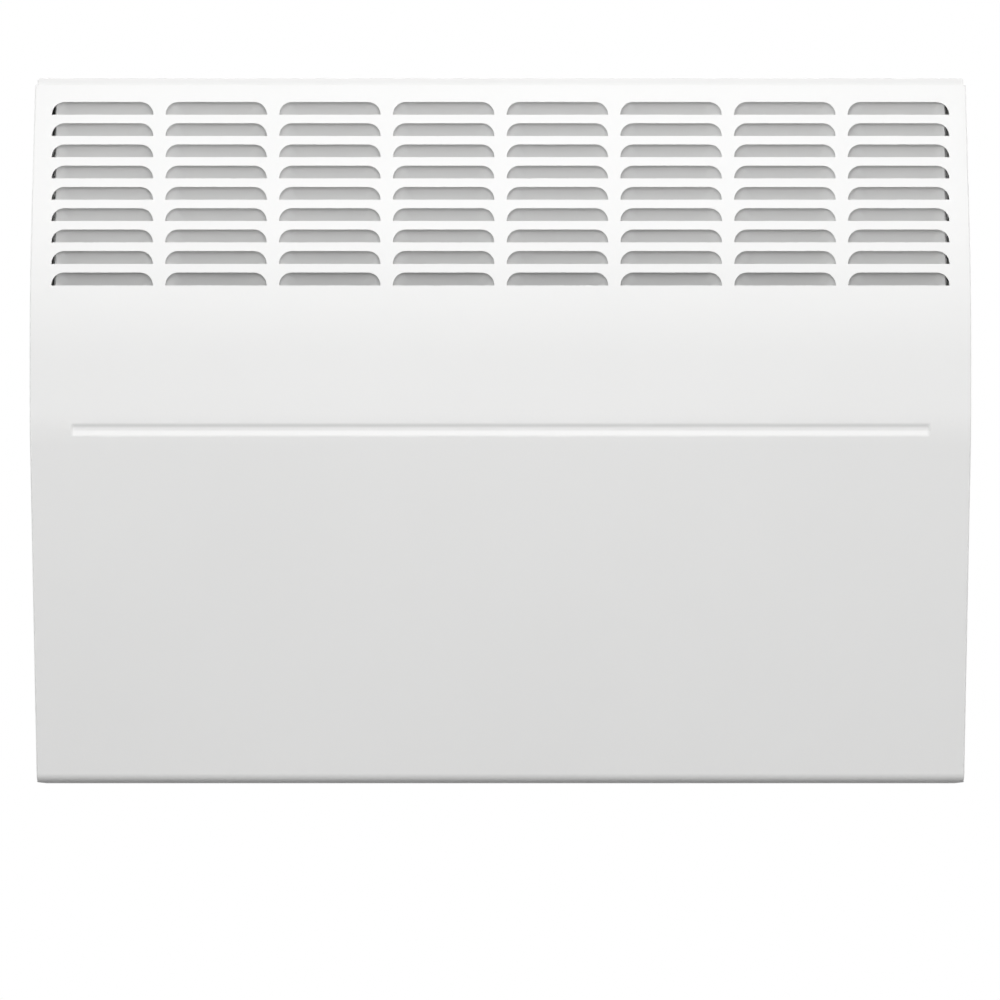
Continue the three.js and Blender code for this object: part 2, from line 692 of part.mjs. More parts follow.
// Wall side
function wallBracket() {
  const plate = frontProfile([[-bracketHalf, bracketLow], [bracketHalf, bracketLow],
    [bracketHalf, bracketTop], [-bracketHalf, bracketTop]], 0, bracketSheet);
  const windowHalf = bracketHalf - railHeight;
  const windowUp = (bracketLow + bracketTop) / 2;
  const windowHalfUp = (bracketTop - bracketLow) / 2 - railHeight;
  const window = frontProfile(shifted(roundedRectangle(windowHalf, windowHalfUp, 14), 0, windowUp), -5, 5);
  const turnedEdge = 6;
  const edges = [-1, 1].map(side => block(
    Math.min(side * windowHalf, side * (windowHalf + 1.5)),
    Math.max(side * windowHalf, side * (windowHalf + 1.5)),
    0, turnedEdge, bracketLow + railHeight + 14, bracketTop - railHeight - 14));
  edges.push(block(-windowHalf + 14, windowHalf - 14, 0, turnedEdge,
    bracketTop - railHeight, bracketTop - railHeight + 1.5));
  edges.push(block(-windowHalf + 14, windowHalf - 14, 0, turnedEdge,
    bracketLow + railHeight - 1.5, bracketLow + railHeight));
  const hooks = [-hookX, hookX].map(x => {
    const line = [[0.75, bracketTop - 5], [0.75, hookUp - 1], [hookReach - 1, hookUp - 1], [hookReach - 1, hookUp + 9]];
    return sideProfile(strip(line, 1.5), x - hookWidth / 2, x + hookWidth / 2);
  });
  const tongues = [-hookX, hookX].map(x => block(x - 9, x + 9, 0, hookReach, tongueUp, tongueUp + 2));
  const slots = [-1, 1].flatMap(side => [105, 345].map(up => frontProfile(
    shifted(roundedRectangle(8, 3, 2.99, 2), side * (bracketHalf - railHeight / 2), up), -5, 5)));
  return plate.subtract(window).add(join([...edges, ...hooks, ...tongues])).subtract(join(slots));
}

function buffer(x) {
  const seat = bracketSheet + gap;
  const profile = [[0, 0], [9, 0], [9, 3], [7, 5], [7, wallGap - gap - seat - 1], [6, wallGap - gap - seat], [0, wallGap - gap - seat]];
  const pad = new THREE.LatheGeometry(profile.map(([r, y]) => new THREE.Vector2(r, y)), 12);
  return pad.rotateX(Math.PI).translate(x, -seat, bufferUp);
}

function catchSpring(x) {
  const face = bracketSheet + gap + 0.4;
  const line = [[face, 86], [face, 66], [5, 62.5], [16.6, 70], [14.5, 75]];
  return sideProfile(strip(line, 0.8), x - 7, x + 7);
}

// Welded behind the cut-out in the back sheet: the hook bears in its window
function hangerPlate(x) {
  const outline = roundedRectangle(clearanceHalf + 9, 29, 4);
  return frontProfile(shifted(outline, x, hookUp - 11), inner, inner + plateSheet)
    .subtract(block(x - hookWidth / 2 - windowPlay, x + hookWidth / 2 + windowPlay,
      10, 40, hookUp - 22, hookUp + gap));
}

function sensorBulb() {
  const bulb = solid(rod(3, spot(150, 27, 24), spot(215, 27, 24), 10));
  const capillary = solid(tube([spot(212, 27, 24), spot(222, 30, 28), spot(233, 46, 70),
    spot(250, 47, 150), spot(263, 46.5, 212), spot(264, 47, 240), spot(264, 47.5, 257.4)], 1, 15));
  return bulb.add(capillary);
}

function sensorClip() {
  const line = [[inner + 0.4, 40], [inner + 0.4, 20.2], [27.8, 20.2], [30.9, 22.4], [30.9, 25.6], [27.8, 27.8], [24, 27.8]];
  return sideProfile(strip(line, 0.8), 170, 184);
}

addPart('wall_bracket', wallBracket(), zinc);
addPart('front_panel', frontPanel(), coat);
addPart('rear_panel', rearPanel(), coat);
addPart('inlet_grille', inletGrille(), coat);
addPart('heat_deflector', heatDeflector(), alloy);
addPart('heating_element', heatingElement(), steel);
addPart('thermal_cutout', thermalCutout(), darkPlastic);
for (const [side, word] of [[-1, 'left'], [1, 'right']]) {
  const rodEnd = side < 0 ? elementLeft : elementRight;
  const bracketX = rodEnd - side * elementBracketInset;
  addPart(`element_bracket_${word}`, elementBracket(bracketX, -side), zinc);
  addPart(`insulator_${word}`, insulator(bracketX, side), ceramic);
  addPart(`terminal_${word}`, terminal(rodEnd, side), brass);
  addPart(`hanger_${word}`, hangerPlate(side * hookX), zinc);
  addPart(`buffer_${word}`, buffer(side * (bracketHalf - railHeight / 2)), rubber);
  addPart(`catch_spring_${word}`, catchSpring(side * 110), zinc);
}

const controls = new THREE.Group();
controls.applyMatrix4(recessFrame);
casing.add(controls);
addPart('control_bezel', controlBezel(), plastic, controls);
addPart('control_housing', controlHousing(), plastic, controls);
addPart('thermostat_body', thermostatBody(), darkPlastic, controls);
addPart('thermostat_shaft', thermostatShaft(), brass, controls);
addPart('thermostat_knob', thermostatKnob(), plastic, controls);
addPart('switch_body', switchBody(), darkPlastic, controls);
addPart('switch_rocker', switchRocker(), darkPlastic, controls);

addPart('sensor_bulb', sensorBulb(), copper);
addPart('sensor_clip', sensorClip(), zinc);
addPart('terminal_block', terminalBlock(), plastic);
addPart('cable_clamp', cableClamp(), plastic);
addPart('cable_grommet', cableGrommet(), rubber);
const wayUp = blockUp + 2 + gap;
const wayOut = inner + 8;
addPart('wire_live', wire([[blockX + 11, wayOut, wayUp], [blockX + 11, wayOut, 90], [263, 45, 150],
  [269, 50.5, 205], [264, 56, 210], [257.6, 61.6, 213.5], [256.8, 62.2, 223.2]]), brownWire);
addPart('wire_load', wire([[228.6, elementOut, elementUp], [236, elementOut, elementUp + 2],
  [246, 56, 150], [258, 53, 203], [259, 53, 226], [253.6, 54, 255], [253.8, 54.5, 268.6]]), brownWire);
addPart('wire_neutral', wire([[blockX - 11, wayOut, wayUp], [blockX - 11, wayOut, 82], [226, 36, 52],
  [200, 38, 38], [0, 38, 34], [-240, 38, 38], [-284, 48, 70], [-283, elementOut, elementUp],
  [-278.6, elementOut, elementUp]]), blueWire);
addPart('wire_earth', wire([[blockX, wayOut, wayUp], [blockX, wayOut, 92], [256, 29, 103],
  [258.5, 29, 108]]), greenWire);
const stud = addPart('earth_stud', earthStud(), brass);
stud.rotation.x = Math.PI;
stud.position.copy(spot(262, inner, 110));

screwPlaces.forEach(([side, up], i) => {
  const screw = addPart(`casing_screw_${i + 1}`, casingScrew(), zinc);
  screw.applyMatrix4(flankFrame(side, screwOut, up));
});

export default heater;
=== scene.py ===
import math
import bmesh
import bpy
from mathutils import Matrix, Vector


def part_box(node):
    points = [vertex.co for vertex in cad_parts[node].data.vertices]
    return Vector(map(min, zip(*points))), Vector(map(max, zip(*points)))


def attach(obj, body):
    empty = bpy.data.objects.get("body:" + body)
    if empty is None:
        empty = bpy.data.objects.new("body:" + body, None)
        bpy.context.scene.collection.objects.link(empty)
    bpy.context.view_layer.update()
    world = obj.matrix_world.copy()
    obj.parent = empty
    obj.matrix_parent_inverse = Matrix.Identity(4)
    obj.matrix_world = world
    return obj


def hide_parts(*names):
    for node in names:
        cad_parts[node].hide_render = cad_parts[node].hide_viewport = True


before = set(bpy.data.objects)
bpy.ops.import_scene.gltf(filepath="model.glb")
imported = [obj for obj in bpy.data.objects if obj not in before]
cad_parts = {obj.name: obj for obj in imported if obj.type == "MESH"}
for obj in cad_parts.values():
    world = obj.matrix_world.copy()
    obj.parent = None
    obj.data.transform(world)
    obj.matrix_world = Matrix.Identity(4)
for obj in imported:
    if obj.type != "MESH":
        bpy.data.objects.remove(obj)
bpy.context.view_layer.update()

low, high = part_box("front_panel")
base = low.z             # the casing's bottom edge
halfFront = high.x       # half the width at the most forward line
frontY = low.y
backY = high.y
hair, speck = 1e-5, 1e-6         # metres, for telling places apart
bendFrom, foldFrom = 12, 60      # degrees an edge turns
smoothBelow = math.radians(32)


def pick(*pieces):
    bpy.ops.object.select_all(action="DESELECT")
    for piece in pieces:
        piece.select_set(True)
    bpy.context.view_layer.objects.active = pieces[0]


def begin(name):         # names the primitive just added and opens it for editing
    piece = bpy.context.object
    pick(piece)
    piece.name = name
    bpy.ops.object.transform_apply(location=True, rotation=True, scale=True)
    bpy.ops.object.mode_set(mode="EDIT")
    return piece


def close():
    bpy.ops.object.mode_set(mode="OBJECT")


def middle(part):        # of an edge or a face
    return sum((vert.co for vert in part.verts), Vector()) / len(part.verts)


def choose(kind, test):  # selects the vertices, edges or faces that pass the test
    bpy.ops.mesh.select_mode(type=kind)
    bpy.ops.mesh.select_all(action="DESELECT")
    data = bpy.context.edit_object.data
    mesh = bmesh.from_edit_mesh(data)
    for part in {"VERT": mesh.verts, "EDGE": mesh.edges, "FACE": mesh.faces}[kind]:
        if test(part):
            part.select_set(True)
    mesh.select_flush_mode()
    bmesh.update_edit_mesh(data)


def near(value, target):
    return abs(value - target) < 2 * hair


def turned(edge):        # how far an edge's two faces turn, in degrees
    return math.degrees(edge.calc_face_angle(0)) if len(edge.link_faces) == 2 else 0


def folded(edge):
    return turned(edge) > foldFrom


def shift(x=0, y=0, z=0):
    bpy.ops.transform.translate(value=(x, y, z))


def pull(x=0, y=0, z=0):
    bpy.ops.mesh.extrude_region_move(TRANSFORM_OT_translate={"value": (x, y, z)})


def stretch(x=1, y=1, z=1, about=(0, 0, 0)):
    bpy.ops.transform.resize(value=(x, y, z), center_override=about)


def cut(at, normal, **clear):
    bpy.ops.mesh.bisect(plane_co=at, plane_no=normal, threshold=speck, **clear)


def rounded(offset, segments=3, **more):
    bpy.ops.mesh.bevel(offset=offset, segments=segments, affect="EDGES", **more)


def weld(distance=speck):
    bpy.ops.mesh.select_all(action="SELECT")
    bpy.ops.mesh.remove_doubles(threshold=distance)


def modify(piece, kind, **settings):
    pick(piece)
    modifier = piece.modifiers.new(kind, kind)
    for name, value in settings.items():
        setattr(modifier, name, value)
    bpy.ops.object.modifier_apply(modifier=modifier.name)


def dress(piece, body, slot, *replaced):
    pick(piece)
    bpy.ops.object.transform_apply(location=True, rotation=True, scale=True)
    bpy.ops.object.shade_smooth_by_angle(angle=smoothBelow)
    modify(piece, "WEIGHTED_NORMAL", keep_sharp=True)
    piece.data.materials.clear()
    piece.data.materials.append(finishes[slot])
    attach(piece, body)
    if replaced:
        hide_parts(*replaced)


class Wire:              # a socket that takes part in arithmetic
    def __init__(self, paint, socket):
        self.paint = paint
        self.socket = socket

    def maths(self, operation, other):
        return self.paint.node("ShaderNodeMath", {"operation": operation}, {0: self, 1: other})

    def __mul__(self, other):
        return self.maths("MULTIPLY", other)

    def __radd__(self, other):
        return self.maths("ADD", other)


class Paint:             # one material under construction
    def __init__(self, name, **constants):
        self.material = bpy.data.materials.new(name)
        self.material.use_nodes = True
        self.tree = self.material.node_tree
        self.shader = self.tree.nodes["Principled BSDF"]
        for socket, value in constants.items():
            self.shader.inputs[socket.replace("_", " ")].default_value = value
        self.place = self.node("ShaderNodeTexCoord", {}, {}, "Object")

    def node(self, kind, settings, sockets, output=0):
        made = self.tree.nodes.new(kind)
        for name, value in settings.items():
            setattr(made, name, value)
        for socket, value in sockets.items():
            if isinstance(value, Wire):
                self.tree.links.new(value.socket, made.inputs[socket])
            else:
                made.inputs[socket].default_value = value
        return Wire(self, made.outputs[output])

    def noise(self, scale, detail=2, place=None):
        sockets = {"Vector": place or self.place, "Scale": scale, "Detail": detail}
        return self.node("ShaderNodeTexNoise", {}, sockets)

    def stretched(self, x, y, z):
        return self.node("ShaderNodeMapping", {}, {"Vector": self.place, "Scale": (x, y, z)})

    def blend(self, factor, first, second):
        sockets = {0: factor, 6: (*first, 1), 7: (*second, 1)}
        return self.node("ShaderNodeMix", {"data_type": "RGBA"}, sockets, 2)

    def feed(self, **wires):
        for socket, wire in wires.items():
            self.tree.links.new(wire.socket, self.shader.inputs[socket.replace("_", " ")])

    def relief(self, height, strength, distance):
        sockets = {"Height": height, "Strength": strength, "Distance": distance}
        return self.node("ShaderNodeBump", {}, sockets)


def powderCoat():        # semi-gloss white with the skin of a baked powder
    paint = Paint("powderCoat", Specular_IOR_Level=0.42, Coat_Roughness=0.3)
    cloud = paint.noise(9)
    skin = paint.noise(640, 3)
    paint.feed(
        Base_Color=paint.blend(cloud, (0.80, 0.80, 0.795), (0.825, 0.825, 0.82)),
        Roughness=0.4 + skin * 0.08,
        Normal=paint.relief(skin, 0.12, 0.0002))
    return paint.material


def zincSteel():         # dulled zinc with faint rolling lines
    paint = Paint("zincSteel", Metallic=1)
    grain = paint.noise(60, 4, paint.stretched(1, 1, 14))
    cloud = paint.noise(35, 3)
    paint.feed(
        Base_Color=paint.blend(cloud, (0.41, 0.42, 0.435), (0.53, 0.54, 0.55)),
        Roughness=0.26 + grain * 0.2,
        Normal=paint.relief(grain, 0.1, 0.0001))
    return paint.material


def aluminisedSheet():   # dull rolled sheet with a mottled skin
    paint = Paint("aluminisedSheet", Metallic=1)
    grain = paint.noise(90, 3, paint.stretched(0.05, 1, 1))
    mottle = paint.noise(160, 2)
    paint.feed(
        Base_Color=paint.blend(mottle, (0.6, 0.61, 0.62), (0.76, 0.765, 0.77)),
        Roughness=0.36 + grain * 0.2,
        Normal=paint.relief(mottle, 0.1, 0.0001))
    return paint.material


def elementSteel():      # steel dulled and tinted by heat
    paint = Paint("elementSteel", Metallic=1)
    tint = paint.noise(24, 3)
    grain = paint.noise(300, 2)
    paint.feed(
        Base_Color=paint.blend(tint, (0.34, 0.335, 0.33), (0.5, 0.46, 0.4)),
        Roughness=0.38 + grain * 0.2,
        Normal=paint.relief(grain, 0.15, 0.0001))
    return paint.material


def moulding(name, dark, pale, roughness, texture=900):   # a moulded plastic or rubber skin
    paint = Paint(name, Specular_IOR_Level=0.45)
    cloud = paint.noise(14)
    grain = paint.noise(texture, 2)
    paint.feed(
        Base_Color=paint.blend(cloud, dark, pale),
        Roughness=roughness + grain * 0.12,
        Normal=paint.relief(grain, 0.2, 0.0001))
    return paint.material


def plainMetal(name, dark, pale, roughness):
    paint = Paint(name, Metallic=1)
    cloud = paint.noise(70, 3)
    grain = paint.noise(500, 2)
    paint.feed(
        Base_Color=paint.blend(cloud, dark, pale),
        Roughness=roughness + grain * 0.15,
        Normal=paint.relief(grain, 0.1, 0.0001))
    return paint.material


finishes = {
    "powder_coat": powderCoat(),
    "zinc_steel": zincSteel(),
    "aluminised_sheet": aluminisedSheet(),
    "element_steel": elementSteel(),
    "white_plastic": moulding("whitePlastic", (0.76, 0.76, 0.74), (0.8, 0.8, 0.78), 0.42),
    "dark_plastic": moulding("darkPlastic", (0.022, 0.022, 0.023), (0.03, 0.03, 0.031), 0.4),
    "ceramic": moulding("steatite", (0.74, 0.7, 0.6), (0.8, 0.76, 0.67), 0.5, 1500),
    "brass": plainMetal("brass", (0.6, 0.43, 0.17), (0.72, 0.55, 0.26), 0.28),
    "copper_tube": plainMetal("copperTube", (0.5, 0.24, 0.14), (0.66, 0.34, 0.2), 0.3),
    "black_rubber": moulding("blackRubber", (0.014, 0.014, 0.014), (0.024, 0.024, 0.024), 0.72),
    "brown_wire": moulding("brownInsulation", (0.13, 0.05, 0.022), (0.19, 0.08, 0.035), 0.4),
    "blue_wire": moulding("blueInsulation", (0.025, 0.1, 0.34), (0.035, 0.14, 0.42), 0.4),
    "green_wire": moulding("greenInsulation", (0.08, 0.28, 0.05), (0.12, 0.36, 0.08), 0.4),
}
print("finishes ready")


studio = {
    "distance": 14,                      # camera to the front, metres
    "frameWidth": 0.6274,                # what the picture spans at the front
    "aim": (-0.0003, -0.2075),           # x and height of the picture's middle
    "floor": {"height": -0.62, "size": 5, "seen": 0.5, "unseen": 0.26, "glow": 1.2, "share": 0.75},
    "sky": 0.29, "ground": 0.155,         # soft light from above and below the horizon
    # azimuth, elevation, reach, size, power
    "lamps": {"key": (0, 25, 2.5, (1.6, 0.9), 49), "right": (105, 25, 2.5, (1.2, 1.2), 22),
              "left": (-105, 25, 2.5, (1.2, 1.2), 22), "rear": (180, 30, 2.5, (1.6, 1.2), 34)},
}


def placeCamera():
    data = bpy.data.cameras.new("camera")
    data.lens = data.sensor_width * studio["distance"] / studio["frameWidth"]
    data.clip_end = 100
    camera = bpy.data.objects.new("camera", data)
    x, z = studio["aim"]
    camera.location = (x, frontY - studio["distance"], z)
    camera.rotation_euler = (math.radians(90), 0, 0)
    bpy.context.collection.objects.link(camera)
    bpy.context.scene.camera = camera


def placeLamp(name, azimuth, elevation, reach, size, power):
    data = bpy.data.lights.new(name, "AREA")
    data.shape = "RECTANGLE"
    data.size, data.size_y = size
    data.energy = power
    lamp = bpy.data.objects.new(name, data)
    turn, rise = math.radians(azimuth), math.radians(elevation)
    away = Vector((math.sin(turn) * math.cos(rise), -math.cos(turn) * math.cos(rise), math.sin(rise)))
    lamp.location = Vector((0, (frontY + backY) / 2, (low.z + high.z) / 2)) + away * reach
    lamp.rotation_euler = away.to_track_quat("Z", "Y").to_euler()
    bpy.context.collection.objects.link(lamp)


def layFloor():
    floorKit = studio["floor"]
    bpy.ops.mesh.primitive_plane_add(size=floorKit["size"], location=(0, 0, floorKit["height"]))
    floor = bpy.context.object
    floor.name = "floor"
    material = bpy.data.materials.new("floor")
    material.use_nodes = True
    nodes, links = material.node_tree.nodes, material.node_tree.links
    paper = nodes["Principled BSDF"]
    paper.inputs["Roughness"].default_value = 0.9
    paper.inputs["Specular IOR Level"].default_value = 0.1
    white = nodes.new("ShaderNodeEmission")
    white.inputs["Strength"].default_value = floorKit["glow"]
    light = nodes.new("ShaderNodeLightPath")
    tone = nodes.new("ShaderNodeMapRange")       # pale to the camera, dim to the casing's underside
    tone.inputs["To Min"].default_value = floorKit["unseen"]
    tone.inputs["To Max"].default_value = floorKit["seen"]
    share = nodes.new("ShaderNodeMath")
    share.operation = "MULTIPLY"
    share.inputs[1].default_value = floorKit["share"]          # the rest keeps the object's shadow
    mix = nodes.new("ShaderNodeMixShader")
    see = nodes.new("ShaderNodeNewGeometry")
    clear = nodes.new("ShaderNodeBsdfTransparent")
    oneSided = nodes.new("ShaderNodeMixShader")
    links.new(light.outputs["Is Camera Ray"], tone.inputs["Value"])
    links.new(tone.outputs[0], paper.inputs["Base Color"])
    links.new(light.outputs["Is Camera Ray"], share.inputs[0])
    links.new(share.outputs[0], mix.inputs[0])
    links.new(paper.outputs[0], mix.inputs[1])
    links.new(white.outputs[0], mix.inputs[2])
    links.new(see.outputs["Backfacing"], oneSided.inputs[0])
    links.new(mix.outputs[0], oneSided.inputs[1])
    links.new(clear.outputs[0], oneSided.inputs[2])
    links.new(oneSided.outputs[0], nodes["Material Output"].inputs["Surface"])
    floor.data.materials.append(material)


def lightTheRoom():
    world = bpy.data.worlds.new("studio")
    bpy.context.scene.world = world
    world.use_nodes = True
    nodes, links = world.node_tree.nodes, world.node_tree.links
    soft = nodes["Background"]
    soft.inputs["Color"].default_value = (1, 1, 1, 1)
    towards = nodes.new("ShaderNodeTexCoord")
    split = nodes.new("ShaderNodeSeparateXYZ")
    dome = nodes.new("ShaderNodeMapRange")
    dome.inputs["From Min"].default_value = -0.1
    dome.inputs["From Max"].default_value = 0.1
    dome.inputs["To Min"].default_value = studio["ground"]
    dome.inputs["To Max"].default_value = studio["sky"]
    links.new(towards.outputs["Generated"], split.inputs[0])
    links.new(split.outputs["Z"], dome.inputs["Value"])
    links.new(dome.outputs[0], soft.inputs["Strength"])
    white = nodes.new("ShaderNodeBackground")
    white.inputs["Strength"].default_value = 1
    white.inputs["Color"].default_value = (1, 1, 1, 1)
    light = nodes.new("ShaderNodeLightPath")
    seen = nodes.new("ShaderNodeMath")           # the camera and reflections see plain white
    seen.operation = "MAXIMUM"
    mix = nodes.new("ShaderNodeMixShader")
    links.new(light.outputs["Is Camera Ray"], seen.inputs[0])
    links.new(light.outputs["Is Glossy Ray"], seen.inputs[1])
    links.new(seen.outputs[0], mix.inputs[0])
    links.new(soft.outputs[0], mix.inputs[1])
    links.new(white.outputs[0], mix.inputs[2])
    links.new(mix.outputs[0], nodes["World Output"].inputs["Surface"])


placeCamera()
layFloor()
lightTheRoom()
for name, setting in studio["lamps"].items():
    placeLamp(name, *setting)
bpy.context.scene.view_settings.view_transform = "Standard"
print("studio ready")


casing = {
    "sheet": 0.001, "blank": 0.32,
    "lean": 0.125,                       # a flank draws in this much for each unit towards the wall
    "flankFacing": 0.98,                 # how squarely a flank's faces look sideways
    "topTilt": 11, "lowTilt": 7.8,       # degrees, back above and under below
    "top": 0.4383, "arcTop": 0.3633, "apexTop": 0.268, "apexBottom": 0.232,
    "creaseRadius": 0.15, "rollRadius": 0.0063, "returnFlange": 0.01, "returnInset": 0.004,
    "sideSheet": 0.012,                  # plain sheet beside the louvres
    "cornerRadius": 0.0011, "cornerRise": 0.6,     # round where an edge climbs this share of its length
    "curveStep": 0.001,
}
louvre = {
    "columns": 8, "rows": 9, "across": 0.07143,
    "length": 0.06405, "height": 0.0084, "corner": 0.0082, "cornerSteps": 9,
    "firstTop": 0.4278, "lastTop": 0.32044,
    "depth": 0.0098, "lip": 0.0003, "lipTurns": (0.4, 0.8), "mouth": 0.0007,
    "curl": 0.6, "shares": (0.06, 0.14, 0.24, 0.36, 0.5, 0.66, 0.82, 1),
    "openEnd": 0.0031, "endReach": 0.02,
}
bead = {"low": 0.2177, "high": 0.2252, "lowFlank": 0.0034, "highFlank": 0.0018,
        "halfLength": 0.2696, "endFlank": 0.0014, "depth": 0.0009, "soften": 0.0007}

topTilt = math.radians(casing["topTilt"])
lowTilt = math.radians(casing["lowTilt"])
arcRadius = (casing["arcTop"] - casing["apexTop"]) / math.sin(topTilt)
creaseEnd = casing["apexBottom"] - casing["creaseRadius"] * math.sin(lowTilt)
creaseIn = casing["creaseRadius"] * (1 - math.cos(lowTilt))
rollUp = casing["rollRadius"] * (1 - math.sin(lowTilt))
rollOut = (-frontY - creaseIn - (creaseEnd - rollUp) * math.tan(lowTilt)
           - casing["rollRadius"] * math.cos(lowTilt))
rollLength = casing["rollRadius"] * (math.pi / 2 - lowTilt)
halfBack = halfFront - casing["lean"] * (backY - frontY)

# The front's section as a walk from the end of the bottom roll: radius and turn, or length
walk = [
    (casing["rollRadius"], math.pi / 2 - lowTilt),
    (0, (creaseEnd - rollUp) / math.cos(lowTilt)),
    (casing["creaseRadius"], lowTilt),
    (0, casing["apexTop"] - casing["apexBottom"]),
    (arcRadius, topTilt),
    (0, (casing["top"] - casing["arcTop"]) / math.cos(topTilt)),
]


def sectionAt(along):    # out and up at a length along the section
    out, up, heading = rollOut, 0, 0
    for radius, amount in walk:
        length = radius * amount if radius else amount
        part = min(along, length)
        if radius:
            end = heading + part / radius
            out += radius * (math.sin(end) - math.sin(heading))
            up += radius * (math.cos(heading) - math.cos(end))
            heading = end
        else:
            out += part * math.cos(heading)
            up += part * math.sin(heading)
        along -= part
        if along <= 0:
            break
    return out, up


sectionLength = sum(radius * amount if radius else amount for radius, amount in walk)


def alongAt(up):         # length along the section at a height, by halving
    first, last = 0, sectionLength
    while last - first > 1e-7:
        half = (first + last) / 2
        if sectionAt(half)[1] < up:
            first = half
        else:
            last = half
    return first


beadLow, beadHigh = alongAt(bead["low"]), alongAt(bead["high"])
floorLow, floorHigh = beadLow + bead["lowFlank"], beadHigh - bead["highFlank"]
creaseFrom, creaseTo = alongAt(creaseEnd), alongAt(casing["apexBottom"])


def spot(x, out, up):    # a place by its distance from the wall and its height above the casing's bottom
    return Vector((x, -out, base + up))


def halfAt(out):         # half the width between the flanks' outer faces
    return halfFront - casing["lean"] * (-frontY - out)


control = {
    "out": 0.058, "up": 0.252, "opening": (0.02, 0.044),
    "flange": (0.046, 0.094), "flangeCorner": 0.005, "flangeTop": 0.00155, "flangeBack": 0.00035,
    "hollow": (0.036, 0.084), "hollowCorner": 0.003, "floor": -0.0095, "wall": 0.0015, "edge": 0.0006,
    "knobUp": 0.02, "shaftHole": 0.0038, "cutterReach": 0.005,
    "switchUp": -0.022, "switchHole": (0.0138, 0.0218), "switchEdge": 0.0005,
}
flankTurn = math.atan(casing["lean"])
controlPlace = (Matrix.Translation(spot(halfAt(control["out"]), control["out"], control["up"]))
                @ Matrix.Rotation(flankTurn, 4, "Z"))
knobUp, switchUp = control["knobUp"], control["switchUp"]
zToX = Matrix.Rotation(math.radians(90), 4, "Y")


def scoopRings():        # distance from the rim and depth of each ring, down to the mouth
    lip = louvre["lip"]
    rings = [(lip * math.sin(a), lip * (1 - math.cos(a))) for a in louvre["lipTurns"]]
    rimIn, rimDeep = rings[-1]
    reach = louvre["corner"] - louvre["mouth"] - rimIn
    drop = louvre["depth"] - rimDeep
    for share in louvre["shares"]:
        rings.append((rimIn + reach * share, rimDeep + drop * share ** louvre["curl"]))
    return rings


def pressLouvre(pitch):  # one cell of flat sheet, facing -Y, with the slot's lower edge at z = 0
    length, tall, across = louvre["length"], louvre["height"], louvre["across"]
    margin = (pitch - tall) / 2
    crown = tall + margin
    upright = (math.radians(90), 0, 0)
    bpy.ops.mesh.primitive_plane_add(size=1, rotation=upright)
    bpy.context.object.scale = (length, 2 * tall, 1)
    cell = begin("front_casing")
    bpy.ops.mesh.select_all(action="SELECT")
    bpy.ops.mesh.bevel(offset=louvre["corner"], segments=louvre["cornerSteps"], affect="VERTICES")
    choose("FACE", lambda face: True)
    (within, sunk), *rings = scoopRings()
    bpy.ops.mesh.inset(thickness=within, depth=-sunk)
    for inset, deep in rings:
        pull(y=deep - sunk)
        stretch((length / 2 - inset) / (length / 2 - within), 1, (tall - inset) / (tall - within))
        within, sunk = inset, deep
    bpy.ops.mesh.select_all(action="SELECT")
    cut((0, 0, 0), (0, 0, 1), clear_inner=True)
    bpy.ops.mesh.select_all(action="DESELECT")

    # the sheet round the slot, bridged to its rim
    inSheet = lambda face: near(middle(face).z, crown / 2) and near(middle(face).y, 0)
    inSlot = lambda edge: (near(middle(edge).z, 0)
                           or near(abs(middle(edge).x), length / 2) and near(middle(edge).z, crown / 2))
    onRim = lambda edge: edge.is_boundary and near(middle(edge).y, 0) and not near(middle(edge).z, 0)
    bpy.ops.mesh.primitive_plane_add(size=1, rotation=upright)
    stretch(across, 1, crown)
    shift(z=crown / 2)
    for x in (-length / 2, length / 2):
        choose("FACE", inSheet)
        cut((x, 0, 0), (1, 0, 0))
    choose("FACE", inSheet)
    bpy.ops.mesh.delete(type="ONLY_FACE")
    choose("EDGE", lambda edge: not edge.link_faces and inSlot(edge))
    bpy.ops.mesh.delete(type="EDGE")
    choose("EDGE", lambda edge: not edge.link_faces or onRim(edge))
    bpy.ops.mesh.bridge_edge_loops()

    # half the strip under the slot
    bpy.ops.mesh.select_all(action="DESELECT")
    bpy.ops.mesh.primitive_plane_add(size=1, rotation=upright)
    stretch(across, 1, margin)
    shift(z=-margin / 2)
    for x in (-length / 2, length / 2):
        choose("FACE", lambda face: near(middle(face).z, -margin / 2))
        cut((x, 0, 0), (1, 0, 0))
    weld()
    close()
    return cell


def repeat(piece, count, step):
    modify(piece, "ARRAY", count=count, use_relative_offset=False, use_constant_offset=True,
           constant_offset_displace=step, use_merge_vertices=True, merge_threshold=hair)


def openEnds(halfField):     # the outermost slots are open at their outer ends
    openFrom = halfField - (louvre["across"] - louvre["length"]) / 2 - louvre["openEnd"]
    for side in (-1, 1):
        choose("FACE", lambda face: middle(face).y > 3 * hair
               and side * middle(face).x > openFrom - louvre["endReach"])
        cut((side * openFrom, 0, 0), (1, 0, 0))
    choose("FACE", lambda face: middle(face).y > 10 * hair and abs(middle(face).x) > openFrom)
    bpy.ops.mesh.delete(type="FACE")


def levelsBelow(level):  # heights of the rows of vertices below a level, in the flat sheet
    stops = [(alongAt(casing["apexTop"]), 8), (creaseTo, 1), (beadHigh, 4), (floorHigh, 1), (floorLow, 2),
             (beadLow, 1), (creaseFrom, 3), (rollLength, 3), (0, 12), (-casing["returnFlange"], 1)]
    for stop, count in stops:
        for i in range(1, count + 1):
            yield level + (stop - level) * i / count
        level = stop


